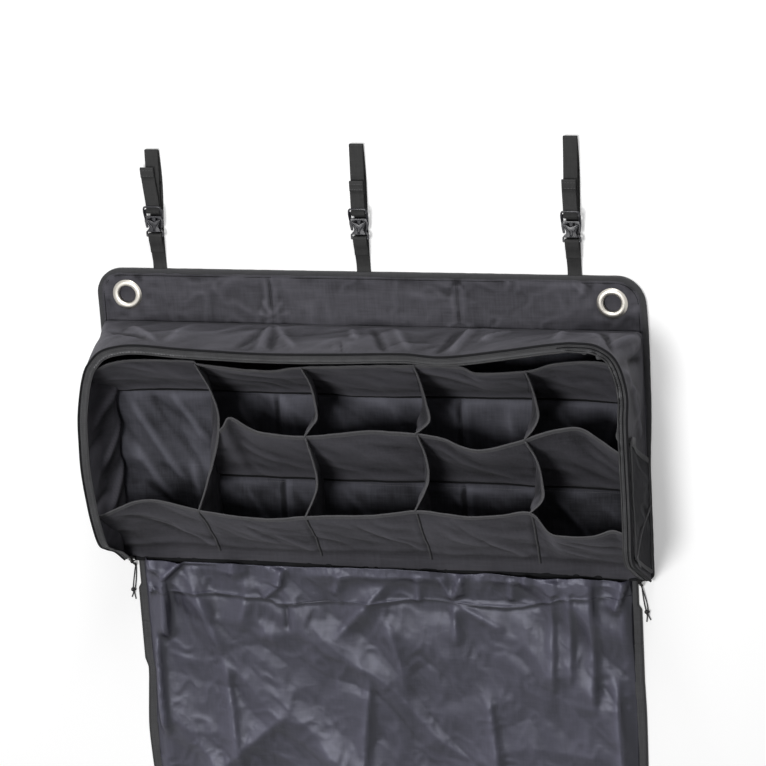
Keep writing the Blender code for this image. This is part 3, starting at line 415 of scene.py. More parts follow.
def moulding(name, outlines, thickness, edge, place, steps=3):
    """A flat moulded shape with rounded edges, from closed outlines in its own XY plane."""
    curve = bpy.data.curves.new(name, "CURVE")
    curve.dimensions = "2D"
    curve.fill_mode = "BOTH"
    curve.extrude = thickness / 2 - edge
    curve.bevel_depth = edge
    curve.bevel_resolution = steps
    curve.offset = -edge
    for outline in outlines:
        spline = curve.splines.new("POLY")
        spline.points.add(len(outline) - 1)
        for point, (x, y) in zip(spline.points, outline):
            point.co = (x, y, 0.0, 1.0)
        spline.use_cyclic_u = True
    made = new_object(name, curve)
    bpy.context.view_layer.update()
    mesh = bpy.data.meshes.new_from_object(
        made.evaluated_get(bpy.context.evaluated_depsgraph_get()))
    bpy.data.objects.remove(made, do_unlink=True)
    shape = bmesh.new()
    shape.from_mesh(mesh)
    bmesh.ops.remove_doubles(shape, verts=shape.verts, dist=1e-6)
    bmesh.ops.recalc_face_normals(shape, faces=shape.faces)
    bmesh.ops.transform(shape, matrix=place, verts=shape.verts)
    shape.to_mesh(mesh)
    shape.free()
    mesh.shade_smooth()
    mesh.set_sharp_from_angle(angle=SHARP)
    return mesh


def block(size, centre, place, edge=0.0003):
    """A small block with bevelled edges, as a mesh."""
    shape = bmesh.new()
    bmesh.ops.create_cube(shape, size=1.0)
    bmesh.ops.scale(shape, vec=size, verts=shape.verts)
    bmesh.ops.bevel(shape, geom=shape.edges[:], offset=edge, segments=2, profile=0.5,
                    affect="EDGES")
    bmesh.ops.translate(shape, vec=centre, verts=shape.verts)
    bmesh.ops.transform(shape, matrix=place, verts=shape.verts)
    mesh = bpy.data.meshes.new("block")
    shape.to_mesh(mesh)
    shape.free()
    mesh.shade_smooth()
    return mesh


def joined(name, meshes):
    """One object from several meshes that are parts of one moulding."""
    shape = bmesh.new()
    for mesh in meshes:
        shape.from_mesh(mesh)
    whole = bpy.data.meshes.new(name)
    shape.to_mesh(whole)
    shape.free()
    whole.set_sharp_from_angle(angle=SHARP)
    return new_object(name, whole)


def welded(name, meshes, finish, body, replaces=()):
    """One dressed piece from several closed skins."""
    piece = joined(name, meshes)
    outward(piece.data)
    return dress(piece, finish, body, replaces)


# Node trees

class Tree:
    """Short ways to add nodes to a tree and link them."""

    def __init__(self, tree):
        self.tree = tree

    def add(self, kind, *values, settings=None, **named):
        node = self.tree.nodes.new(kind)
        for key, value in (settings or {}).items():
            setattr(node, key, value)
        for socket, value in zip(node.inputs, values):
            self.feed(socket, value)
        for key, value in named.items():
            self.feed(node.inputs[key.replace("_", " ")], value)
        return node

    def feed(self, socket, value):
        if value is None:
            return
        if isinstance(value, bpy.types.NodeSocket):
            self.tree.links.new(value, socket)
        else:
            socket.default_value = value

    def math(self, operation, *values, clamp=False):
        settings = {"operation": operation, "use_clamp": clamp}
        return self.add("ShaderNodeMath", *values, settings=settings).outputs[0]

    def mix(self, factor, low, high, blend="MIX"):
        node = self.add("ShaderNodeMix", settings={"data_type": "RGBA", "blend_type": blend})
        self.feed(node.inputs[0], factor)
        self.feed(node.inputs[6], low)
        self.feed(node.inputs[7], high)
        return node.outputs[2]

    def noise(self, vector, scale, detail, **more):
        return self.add("ShaderNodeTexNoise", Vector=vector, Scale=scale, Detail=detail,
                        **more).outputs[0]

    def bump(self, shader, strength, height):
        """Feed a shader's normal from a height in metres."""
        raised = self.add("ShaderNodeBump", Strength=strength, Distance=1.0, Height=height)
        self.feed(shader.inputs["Normal"], raised.outputs[0])


def new_group(name, kind, inputs, outputs):
    """An empty node group with named sockets: (name, type, default) for each input."""
    tree = bpy.data.node_groups.new(name, kind)
    for label, sort, default in inputs:
        socket = tree.interface.new_socket(label, in_out="INPUT",
                                           socket_type="NodeSocket" + sort)
        if default is not None:
            socket.default_value = default
    for label, sort in outputs:
        tree.interface.new_socket(label, in_out="OUTPUT", socket_type="NodeSocket" + sort)
    nodes = Tree(tree)
    return nodes, nodes.add("NodeGroupInput").outputs, nodes.add("NodeGroupOutput").inputs


def seam_row_tree():
    """Small rounded pieces, such as stitches or zip teeth, in a row along seam lines."""
    floats = [("Spacing", 0.0034), ("Along", 0.0027), ("Across", 0.0006), ("High", 0.0006),
              ("Slant", 0.0), ("Unevenness", 0.12)]
    nodes, given, out = new_group(
        "row along a seam", "GeometryNodeTree",
        [("Seam lines", "Geometry", None)] + [(name, "Float", value) for name, value in floats]
        + [("Seed", "Int", 1), ("Finish", "Material", None)], [("Row", "Geometry")])
    lines = nodes.add("GeometryNodeMeshToCurve", given["Seam lines"]).outputs[0]
    spaced = nodes.add("GeometryNodeResampleCurve", lines, settings={"mode": "LENGTH"})
    nodes.feed(spaced.inputs["Length"], given["Spacing"])
    face = nodes.add("GeometryNodeInputNamedAttribute", "face",
                     settings={"data_type": "FLOAT_VECTOR"}).outputs[0]
    along = nodes.add("GeometryNodeInputTangent").outputs[0]
    lie = nodes.add("FunctionNodeAxesToRotation", face, along,
                    settings={"primary_axis": "Z", "secondary_axis": "X"}).outputs[0]
    slant = nodes.add("FunctionNodeAxisAngleToRotation", UP, given["Slant"]).outputs[0]
    turn = nodes.add("FunctionNodeRotateRotation", lie, slant,
                     settings={"rotation_space": "LOCAL"}).outputs[0]
    varied = nodes.add("FunctionNodeRandomValue", settings={"data_type": "FLOAT"})
    nodes.feed(varied.inputs[2], nodes.math("SUBTRACT", 1.0, given["Unevenness"]))
    nodes.feed(varied.inputs[3], nodes.math("ADD", 1.0, given["Unevenness"]))
    nodes.feed(varied.inputs["Seed"], given["Seed"])
    halves = [nodes.math("MULTIPLY", given[name], 0.5) for name in ("Along", "Across", "High")]
    halves[0] = nodes.math("MULTIPLY", halves[0], varied.outputs[1])
    size = nodes.add("ShaderNodeCombineXYZ", *halves).outputs[0]
    bead = nodes.add("GeometryNodeMeshUVSphere", 6, 4, 1.0).outputs[0]
    row = nodes.add("GeometryNodeInstanceOnPoints", spaced.outputs[0], None, bead)
    nodes.feed(row.inputs["Rotation"], turn)
    nodes.feed(row.inputs["Scale"], size)
    real = nodes.add("GeometryNodeRealizeInstances", row.outputs[0]).outputs[0]
    soft = nodes.add("GeometryNodeSetShadeSmooth", real).outputs[0]
    finished = nodes.add("GeometryNodeSetMaterial", soft, None, given["Finish"])
    nodes.feed(out["Row"], finished.outputs[0])
    return nodes.tree


def net_tree():
    """A knotted net from a sheet's faces: six-sided holes with a round cord round each."""
    nodes, given, out = new_group(
        "knotted net", "GeometryNodeTree",
        [("Sheet", "Geometry", None), ("Cord radius", "Float", 0.0004),
         ("Finish", "Material", None)], [("Net", "Geometry")])
    split = nodes.add("GeometryNodeTriangulate", given["Sheet"]).outputs[0]
    holes = nodes.add("GeometryNodeDualMesh", split, True).outputs[0]
    strands = nodes.add("GeometryNodeMeshToCurve", holes).outputs[0]
    ring = nodes.add("GeometryNodeCurvePrimitiveCircle", 4)
    nodes.feed(ring.inputs["Radius"], given["Cord radius"])
    cords = nodes.add("GeometryNodeCurveToMesh", strands, ring.outputs[0]).outputs[0]
    soft = nodes.add("GeometryNodeSetShadeSmooth", cords).outputs[0]
    finished = nodes.add("GeometryNodeSetMaterial", soft, None, given["Finish"])
    nodes.feed(out["Net"], finished.outputs[0])
    return nodes.tree


def with_tree(obj, tree, **values):
    """Run a geometry tree on the object with the given inputs and keep its plain mesh."""
    step = obj.modifiers.new(tree.name, "NODES")
    step.node_group = tree
    keys = {item.name: item.identifier for item in tree.interface.items_tree
            if item.item_type == "SOCKET" and item.in_out == "INPUT"}
    for name, value in values.items():
        step[keys[name.replace("_", " ")]] = value
    return baked(obj)


def seam_rows(name, lines, sizes, finish, body, bend=None, slant=0.12, seed=1,
              unevenness=0.12):
    """Stitches or teeth along (path, face) lines, all in one piece."""
    points, edges, faces = [], [], []
    for path, face in lines:
        path = np.asarray(path, float)
        edges += [(len(points) + k, len(points) + k + 1) for k in range(len(path) - 1)]
        points += path.tolist()
        faces.append(np.broadcast_to(np.asarray(face, float), path.shape))
    mesh = bpy.data.meshes.new(name)
    mesh.from_pydata(points, edges, [])
    stored = mesh.attributes.new("face", "FLOAT_VECTOR", "POINT")
    stored.data.foreach_set("vector", np.vstack(faces).ravel())
    obj = with_tree(new_object(name, mesh), SEAM_ROW, Slant=slant, Seed=seed,
                    Unevenness=unevenness, Finish=finish[0], **sizes)
    return dress(obj, finish, body, bend=bend)


def coil_rows(name, lines, body, bend=None):
    """The upright teeth of a zip's coil."""
    seam_rows(name, lines, TOOTH, COIL, body, bend, slant=0.0, unevenness=0.02)


# Materials

def plain_weave_group():
    """Threads over and under one another; Vector is in metres."""
    nodes, given, out = new_group("plain weave", "ShaderNodeTree",
                                  [("Vector", "Vector", None), ("Thread", "Float", 0.0005)],
                                  [("Height", "Float"), ("Tint", "Float")])
    split = nodes.add("ShaderNodeSeparateXYZ", given["Vector"]).outputs
    u = nodes.math("DIVIDE", split[0], given["Thread"])
    v = nodes.math("DIVIDE", split[1], given["Thread"])
    cell = nodes.math("ADD", nodes.math("FLOOR", u), nodes.math("FLOOR", v))
    odd = nodes.math("FLOORED_MODULO", cell, 2.0)
    across = nodes.math("SINE", nodes.math("MULTIPLY", nodes.math("FRACT", u), math.pi))
    along = nodes.math("SINE", nodes.math("MULTIPLY", nodes.math("FRACT", v), math.pi))
    warp = nodes.math("MULTIPLY", across, nodes.math("POWER", along, 0.4))
    weft = nodes.math("MULTIPLY", along, nodes.math("POWER", across, 0.4))
    even = nodes.math("SUBTRACT", 1.0, odd)
    height = nodes.math("ADD", nodes.math("MULTIPLY", warp, odd),
                        nodes.math("MULTIPLY", weft, even))
    nodes.feed(out["Height"], height)
    tint_u = nodes.add("ShaderNodeTexWhiteNoise", settings={"noise_dimensions": "1D"},
                       W=nodes.math("FLOOR", u)).outputs[0]
    tint_v = nodes.add("ShaderNodeTexWhiteNoise", settings={"noise_dimensions": "1D"},
                       W=nodes.math("ADD", nodes.math("FLOOR", v), 0.5)).outputs[0]
    nodes.feed(out["Tint"], nodes.math("ADD", nodes.math("MULTIPLY", tint_u, odd),
                                       nodes.math("MULTIPLY", tint_v, even)))
    return nodes.tree


def ribbed_group():
    """Ribs across a band, slanted both ways from its middle, as on webbing and zip tape."""
    nodes, given, out = new_group("slanted ribs", "ShaderNodeTree",
                                  [("Vector", "Vector", None), ("Pitch", "Float", 0.0013),
                                   ("Column", "Float", 0.0025), ("Lean", "Float", 0.5)],
                                  [("Height", "Float")])
    split = nodes.add("ShaderNodeSeparateXYZ", given["Vector"]).outputs
    fold = nodes.math("PINGPONG", split[0], given["Column"])
    shifted = nodes.math("ADD", split[1], nodes.math("MULTIPLY", fold, given["Lean"]))
    turn = nodes.math("MULTIPLY", nodes.math("DIVIDE", shifted, given["Pitch"]), math.pi)
    rib = nodes.math("ABSOLUTE", nodes.math("SINE", turn))
    groove = nodes.math("DIVIDE", fold, given["Column"])
    column = nodes.math("SINE", nodes.math("MULTIPLY", groove, math.pi))
    crown = nodes.math("POWER", rib, 0.7)
    hollow = nodes.math("ADD", 0.65, nodes.math("MULTIPLY", column, 0.35))
    nodes.feed(out["Height"], nodes.math("MULTIPLY", crown, hollow))
    return nodes.tree


def tone_group():
    """Broad unevenness of a dyed cloth, its fine fuzz and its drawn streaks, from 0 to 1."""
    nodes, given, out = new_group("cloth tone", "ShaderNodeTree",
                                  [("Vector", "Vector", None), ("Patch", "Float", 0.06),
                                   ("Fuzz size", "Float", 0.0016)],
                                  [("Tone", "Float"), ("Fuzz", "Float"), ("Streaks", "Float")])
    for name, size, detail in (("Tone", "Patch", 4.0), ("Fuzz", "Fuzz size", 3.0)):
        scale = nodes.math("DIVIDE", 1.0, given[size])
        nodes.feed(out[name], nodes.noise(given["Vector"], scale, detail, Roughness=0.6))
    ways = [nodes.add("ShaderNodeMapping", Vector=given["Vector"], Scale=stretch).outputs[0]
            for stretch in ((40.0, 330.0, 150.0), (330.0, 40.0, 150.0))]
    streaks = [nodes.noise(way, 1.0, 2.0) for way in ways]
    nodes.feed(out["Streaks"], nodes.math("MULTIPLY", nodes.math("ADD", *streaks), 0.5))
    return nodes.tree


def new_material(name):
    made = bpy.data.materials.new(name)
    made.use_nodes = True
    nodes = Tree(made.node_tree)
    return made, nodes, made.node_tree.nodes["Principled BSDF"]


def scaled_colour(nodes, colour, amount):
    """A colour made lighter or darker by a changing value."""
    grey = nodes.add("ShaderNodeCombineXYZ", amount, amount, amount).outputs[0]
    return nodes.mix(1.0, (*colour, 1.0), grey, blend="MULTIPLY")


def set_plain(shader, roughness, sheen=0.0, specular=0.5, metallic=0.0):
    shader.inputs["Roughness"].default_value = roughness
    shader.inputs["Metallic"].default_value = metallic
    shader.inputs["Sheen Weight"].default_value = sheen
    shader.inputs["Sheen Roughness"].default_value = 0.5
    shader.inputs["Specular IOR Level"].default_value = specular


def woven(name, slot, colour, thread=0.0005, depth=0.00012, roughness=0.60, sheen=0.03,
          specular=0.12, ribs=None, wrinkled=0.0, gloss=(1.0, 1.0, 1.0)):
    """Cloth: its weave or ribs, uneven dye, fuzz, and painted light and shade.

    The painted light and shade stored on a piece, where it has them, is above 0 on ridges and lit
    faces and below 0 in valleys and shaded faces.
    """
    made, nodes, shader = new_material(name)
    place = nodes.add("ShaderNodeUVMap").outputs[0]
    body = nodes.add("ShaderNodeTexCoord").outputs["Object"]
    tone = nodes.add("ShaderNodeGroup", settings={"node_tree": TONE}, Vector=body)
    if ribs:
        rib = nodes.add("ShaderNodeGroup", settings={"node_tree": RIBS}, Vector=place, **ribs)
        height, tint = rib.outputs["Height"], tone.outputs["Fuzz"]
    else:
        weave = nodes.add("ShaderNodeGroup", settings={"node_tree": WEAVE}, Vector=place,
                          Thread=thread)
        height, tint = weave.outputs["Height"], weave.outputs["Tint"]
    # the painted light and shade stored on the piece lightens and darkens its colour
    painted_shading = nodes.add("ShaderNodeAttribute", settings={"attribute_name": "painted_shading"}).outputs["Fac"]
    shade = 0.16
    for mark, weight in ((height, 0.30), (tint, 0.22), (tone.outputs["Tone"], 0.36),
                         (tone.outputs["Streaks"], 0.80), (painted_shading, 0.90)):
        shade = nodes.math("ADD", shade, nodes.math("MULTIPLY", mark, weight))
    shade = nodes.math("MAXIMUM", shade, 0.25)
    nodes.feed(shader.inputs["Base Color"], scaled_colour(nodes, colour, shade))
    set_plain(shader, roughness, sheen, specular)
    shader.inputs["Specular Tint"].default_value = (*gloss, 1.0)
    rough = nodes.math("MULTIPLY_ADD", tone.outputs["Fuzz"], 0.2, roughness - 0.1)
    nodes.feed(shader.inputs["Roughness"], rough)
    lift = nodes.math("ADD", nodes.math("MULTIPLY", height, depth),
                      nodes.math("MULTIPLY", tone.outputs["Fuzz"], depth * 0.8))
    if wrinkled:
        ridged = {"noise_type": "RIDGED_MULTIFRACTAL", "normalize": True}
        wrinkle = nodes.noise(body, 48.0, 4.0, Roughness=0.55, Distortion=0.9, settings=ridged)
        lift = nodes.math("ADD", lift, nodes.math("MULTIPLY", wrinkle, wrinkled))
    nodes.bump(shader, 0.8, lift)
    return made, slot


def moulded(name, slot, colour, roughness, grain=0.00003):
    """Moulded plastic: fine spark grain, cloudy gloss and lighter scuffs."""
    made, nodes, shader = new_material(name)
    body = nodes.add("ShaderNodeTexCoord").outputs["Object"]
    fine = nodes.noise(body, 2600.0, 2.0)
    cloud = nodes.noise(body, 120.0, 4.0)
    scuff = nodes.noise(body, 420.0, 6.0, Roughness=0.7, Distortion=1.5)
    worn = nodes.math("MULTIPLY", nodes.math("SUBTRACT", scuff, 0.60, clamp=True), 2.5)
    shade = nodes.math("ADD", nodes.math("MULTIPLY_ADD", cloud, 0.4, 0.8), worn)
    nodes.feed(shader.inputs["Base Color"], scaled_colour(nodes, colour, shade))
    set_plain(shader, roughness, specular=0.45)
    rough = nodes.math("MULTIPLY_ADD", cloud, 0.3, roughness - 0.15)
    nodes.feed(shader.inputs["Roughness"], rough)
    nodes.bump(shader, 0.7, nodes.math("MULTIPLY", fine, grain))
    return made, slot


def metal(name, slot, colour, roughness, tarnish):
    """Plated metal: hair scratches, cloudy polish and duller patches."""
    made, nodes, shader = new_material(name)
    body = nodes.add("ShaderNodeTexCoord").outputs["Object"]
    stretched = nodes.add("ShaderNodeMapping", Vector=body, Scale=(1.0, 7.0, 1.0)).outputs[0]
    hair = nodes.noise(stretched, 900.0, 3.0)
    cloud = nodes.noise(body, 70.0, 5.0)
    dull = nodes.math("MULTIPLY", nodes.math("SUBTRACT", cloud, 0.5, clamp=True), tarnish)
    nodes.feed(shader.inputs["Base Color"],
               scaled_colour(nodes, colour, nodes.math("SUBTRACT", 1.0, dull)))
    set_plain(shader, roughness, metallic=1.0)
    rough = nodes.math("MULTIPLY_ADD", hair, 0.12, roughness - 0.05)
    rough = nodes.math("ADD", rough, nodes.math("MULTIPLY", dull, 0.4))
    nodes.feed(shader.inputs["Roughness"], rough)
    nodes.bump(shader, 0.5, nodes.math("MULTIPLY", hair, 0.00001))
    return made, slot


def fibreboard(name, slot, colour):
    """Pressed board: flakes and cloudy patches."""
    made, nodes, shader = new_material(name)
    body = nodes.add("ShaderNodeTexCoord").outputs["Object"]
    flakes = nodes.add("ShaderNodeTexVoronoi", Vector=body, Scale=320.0).outputs[0]
    cloud = nodes.noise(body, 40.0, 6.0)
    shade = nodes.math("ADD", nodes.math("MULTIPLY_ADD", flakes, 0.25, 0.7),
                       nodes.math("MULTIPLY", cloud, 0.3))
    nodes.feed(shader.inputs["Base Color"], scaled_colour(nodes, colour, shade))
    set_plain(shader, 0.75)
    nodes.bump(shader, 0.5, nodes.math("MULTIPLY", flakes, 0.0001))
    return made, slot


# Camera, light and floor

CAMERA_PLACE = (1.1974, 1.5014, 4.1613)
CAMERA_AXES = ((0.9656, -0.0603, -0.2530), (-0.0250, 0.9467, -0.3210),
               (0.2589, 0.3163, 0.9127))
SENSOR_WIDTH, LENS = 36.0, 150.34
# each lamp's place, aim, size and power
LAMPS = {"key_above": ((-0.50, 0.35, 3.3), (0.0, 0.0, 0.0), 1.1, 74.0),
         "head_soft": ((0.3, 3.0, 1.2), (0.0, 0.0, 0.05), 1.4, 64.0)}
SKY_LIGHT = 0.19
FLOOR_TONE, FLOOR_GLOW, FLOOR_REACH, FLOOR_LEVEL = 0.82, 0.26, 9.0, -0.0006


def add_camera():
    """The photograph's long lens, above the head edge and to the right."""
    data = bpy.data.cameras.new("photo_view")
    data.sensor_width = SENSOR_WIDTH
    data.lens = LENS
    data.clip_end = 100.0
    axes = [Vector(axis).normalized() for axis in CAMERA_AXES]
    camera = new_object("photo_view", data)
    camera.matrix_world = Matrix.Translation(CAMERA_PLACE) @ Matrix(axes).transposed().to_4x4()
    bpy.context.scene.camera = camera


def add_lamp(name, place, aim, size, power):
    data = bpy.data.lights.new(name, "AREA")
    data.shape = "DISK"
    data.size = size
    data.energy = power
    lamp = new_object(name, data)
    lamp.location = place
    lamp.rotation_euler = (Vector(aim) - Vector(place)).to_track_quat("-Z", "Y").to_euler()


def background_rays(nodes):
    """1 for the rays that see the background itself, and 0 for the light that it gives."""
    rays = nodes.add("ShaderNodeLightPath").outputs
    seen = nodes.math("MAXIMUM", rays["Is Camera Ray"], rays["Is Glossy Ray"])
    return nodes.math("MAXIMUM", seen, rays["Is Transmission Ray"])


def add_studio():
    """A white world that lights at a plain level, two soft lamps and a pale floor."""
    bpy.context.scene.view_settings.view_transform = "Standard"
    world = bpy.data.worlds.new("studio")
    world.use_nodes = True
    bpy.context.scene.world = world
    nodes = Tree(world.node_tree)
    seen = background_rays(nodes)
    strength = nodes.math("MULTIPLY_ADD", seen, 1.0 - SKY_LIGHT, SKY_LIGHT)
    sky = world.node_tree.nodes["Background"]
    sky.inputs["Color"].default_value = (1.0, 1.0, 1.0, 1.0)
    nodes.feed(sky.inputs["Strength"], strength)
    for name, settings in LAMPS.items():
        add_lamp(name, *settings)

    material, nodes, shader = new_material("studio_floor")
    shader.inputs["Base Color"].default_value = (FLOOR_TONE, FLOOR_TONE, FLOOR_TONE, 1.0)
    set_plain(shader, 0.9, specular=0.0)
    shader.inputs["Emission Color"].default_value = (1.0, 1.0, 1.0, 1.0)
    seen = nodes.add("ShaderNodeLightPath").outputs["Is Camera Ray"]
    nodes.feed(shader.inputs["Emission Strength"], nodes.math("MULTIPLY", seen, FLOOR_GLOW))
    mesh = bpy.data.meshes.new("studio_floor")
    corners = [(x * FLOOR_REACH, y * FLOOR_REACH, FLOOR_LEVEL)
               for x, y in ((-1, -1), (1, -1), (1, 1), (-1, 1))]
    mesh.from_pydata(corners, [], [(0, 1, 2, 3)])
    mesh.materials.append(material)
    new_object("studio_floor", mesh)


# Zip ends: slider, puller, pull cord and knot

SLIDER_X, SLIDER_UP = 0.381, 0.015
CROWN_LEVEL = 0.0041
PULLER_LENGTH = 0.0155
PULLER_DROP = math.radians(55.0)
CORD_RADIUS = 0.0009
CORD_STEP = 0.0006


def slider_place(sign):
    """Own X across the zip, own Y along its travel, own Z out of the closed gusset."""
    centre = SLANT_START + SLANT * SLIDER_UP
    centre.x = sign * SLIDER_X
    turn = Matrix((Vector((-1, 0, 0)), SLANT, -INWARD)).transposed().to_4x4()
    return Matrix.Translation(centre) @ turn


def puller_place(sign):
    """Own Y along the hanging puller, from the pivot under the slider's crown."""
    pivot = slider_place(sign) @ Vector((0.0, 0.0, CROWN_LEVEL))
    along = Vector((0.0, -math.cos(PULLER_DROP), -math.sin(PULLER_DROP)))
    face = Vector((0.0, -math.sin(PULLER_DROP), math.cos(PULLER_DROP)))
    turn = Matrix((along.cross(face), along, face)).transposed().to_4x4()
    return Matrix.Translation(pivot) @ turn


def knot_centre(sign):
    eye = puller_place(sign) @ Vector((0.0, PULLER_LENGTH, 0.0))
    return Vector((eye.x + sign * 0.0066, eye.y - 0.0420, 0.0035))


def strand_route(sign, upper):
    """One strand of the pull cord, from inside the puller's eye to the knot."""
    place = puller_place(sign)
    turn = []
    radius = 0.0022
    way = 1.0 if upper else -1.0
    for k in range(4):
        angle = math.pi / 2 * (1 - k / 3)
        turn.append(place @ Vector((0.0, PULLER_LENGTH + radius * (1 - math.sin(angle)),
                                    way * radius * math.cos(angle))))
    knot, floor = knot_centre(sign), 0.0012
    stations = (((0.22, 0.0010, 0.0018), (0.50, 0.0014, 0.0), (0.80, 0.0012, 0.0008)) if upper
                else ((0.22, -0.0012, 0.0), (0.50, -0.0014, 0.0), (0.80, -0.0012, 0.0008)))
    for fall, across, lift in stations:
        spot = turn[-1].lerp(knot, fall)
        turn.append(Vector((spot.x + sign * across, spot.y, floor + lift)))
    turn.append(Vector((knot.x + sign * across * 0.5, knot.y + 0.0022, knot.z - 0.0006)))
    return curve_through([tuple(p) for p in turn], CORD_STEP)


def cord_skin(path, radius, sides=10):
    """A round skin round a path, its rings turned with the path and not twisted."""
    along = tangents(path)
    out = np.empty_like(path)
    out[0] = np.cross(along[0], (1.0, 0.13, 0.07))
    for k in range(1, len(path)):
        out[k] = out[k - 1] - along[k] * (along[k] @ out[k - 1])
        out[k] /= np.linalg.norm(out[k])
    return skin(path, out, round_profile(radius, sides))


def add_pull_cord(side, sign):
    """Two strands through the puller's eye, and the knot that holds them with its two ends."""
    centre = knot_centre(sign)
    body = "puller_" + side
    turns = np.linspace(0.0, 2 * math.pi, 90, endpoint=False)
    loop = np.stack([0.62 * (np.sin(turns) + 2 * np.sin(2 * turns)) / 2.0,
                     0.62 * (np.cos(turns) - 2 * np.cos(2 * turns)) / 2.0,
                     -np.sin(3 * turns) * 0.55], axis=1)
    loop = np.array(centre) + loop * (0.0033, 0.0040, 0.0028)
    along = tangents(loop, True)
    out = unit(np.cross(along, np.cross(along, loop - np.array(centre))))
    knot_skin = skin(loop, out, round_profile(0.00105), True)
    skins = [grid_mesh("knot", knot_skin, ring=True, loop=True)]
    for across, reach in ((0.0045, 0.0125), (-0.0015, 0.0155)):
        tail = curve_through([
            tuple(centre), (centre.x + sign * across * 0.4, centre.y - reach * 0.5, 0.0018),
            (centre.x + sign * across, centre.y - reach, 0.0012)], CORD_STEP)
        skins.append(grid_mesh("tail", cord_skin(tail, CORD_RADIUS), ring=True))
    knot = welded("knot_" + side, skins, CORD, body, ["cord_knot_" + side])
    for number, upper in enumerate((False, True), start=1):
        route = strand_route(sign, upper)
        strand = rod(f"pull_cord_{side}_{number}", cord_skin(route, CORD_RADIUS), CORD, body,
                     ["pull_cord_" + side] if number == 1 else ())


def add_slider(side, sign):
    """A zip slider with its crown, and the puller that hangs from it."""
    place = slider_place(sign)
    outline = mirrored([(3.5, -6.5, 1.5), (4.6, 6.5, 2)], 5)
    plates = [moulding("plate", [outline], 0.0011, 0.0003, place @ Matrix.Translation((0, 0, z)))
              for z in (-0.00205, 0.00205)]
    neck = block((0.0014, 0.004, 0.0042), (0.0, 0.0034, 0.0), place)
    span = 0.00165
    bridge = arc((0.0, 0.0021), span, 0, 180, 8)
    crown = [(0.0, y, 0.0023 + z) for y, z in bridge]
    crown = [(0.0, span, 0.0022)] + crown + [(0.0, -span, 0.0022)]
    crown = np.array([place @ Vector(p) for p in crown])
    across = np.array(place.to_3x3() @ Vector((1.0, 0.0, 0.0)))
    arch = grid_mesh("arch", skin(crown, across, band_profile(0.0009, 0.0022, 3)), ring=True)
    outward(arch)
    obj = joined("zip_slider_" + side, plates + [neck, arch])
    dress(obj, DARK_METAL, "slider_" + side, ["slider_" + side])

    place = puller_place(sign)
    outline = mirrored([(2.8, -0.7, 0.4), (2.6, 6, 2), (2.2, 10, 2), (2.8, 18, 2)], 5)
    window = mirrored([(1.5, 0.7, 0.2), (1.5, 4.1, 0.6)], 3)
    eye = [(0.0015 * math.cos(a), PULLER_LENGTH + 0.0015 * math.sin(a))
           for a in np.linspace(0, 2 * math.pi, 20, endpoint=False)]
    tab = moulding("tab", [outline, window, eye], 0.0014, 0.0004, place)
    raised = mirrored([(1.1, 6, 0.8), (1.1, 12.2, 0.8)], 4)
    rib = moulding("rib", [raised], 0.0019, 0.0004, place)
    dress(joined("zip_puller_" + side, [tab, rib]), DARK_METAL, "puller_" + side,
          ["puller_" + side])


# Back panel: cloths, binding and grommets

def panel_half(y, inset):
    """Half the panel's width at a height, inside its round head corners."""
    radius = HEAD_RADIUS - inset
    bend = HEAD_Y - HEAD_RADIUS
    rise = np.clip(y - bend, 0.0, radius)
    return PANEL_HALF - inset - radius + np.sqrt(radius ** 2 - rise ** 2)


def panel_grid(y_low, y_high, inset, step):
    rows = np.linspace(y_low, y_high, max(3, int((y_high - y_low) / step)))
    reach = np.linspace(-1.0, 1.0, int(2 * PANEL_HALF / step))
    y = np.broadcast_to(rows[:, None], (len(rows), len(reach)))
    x = panel_half(y, inset) * reach[None, :]
    return x, y


def drawn_out(x, y):
    """The panel's right edge stands out a little beside the box's head corner."""
    return x + 0.0044 * ease(x, 0.380, 0.398) * np.exp(-((y - 0.085) / 0.105) ** 4)


def near_line(value, line, width):
    return np.exp(-((value - line) / width) ** 2)


GROMMETS = ((-0.355, 0.1865), (0.355, 0.1865))
GROMMET_HOLE = 0.0165
HEADER_SEAMS = (((-0.1405, 0.2190), (-0.1376, 0.1560)), ((0.1340, 0.2190), (0.1352, 0.1530)))


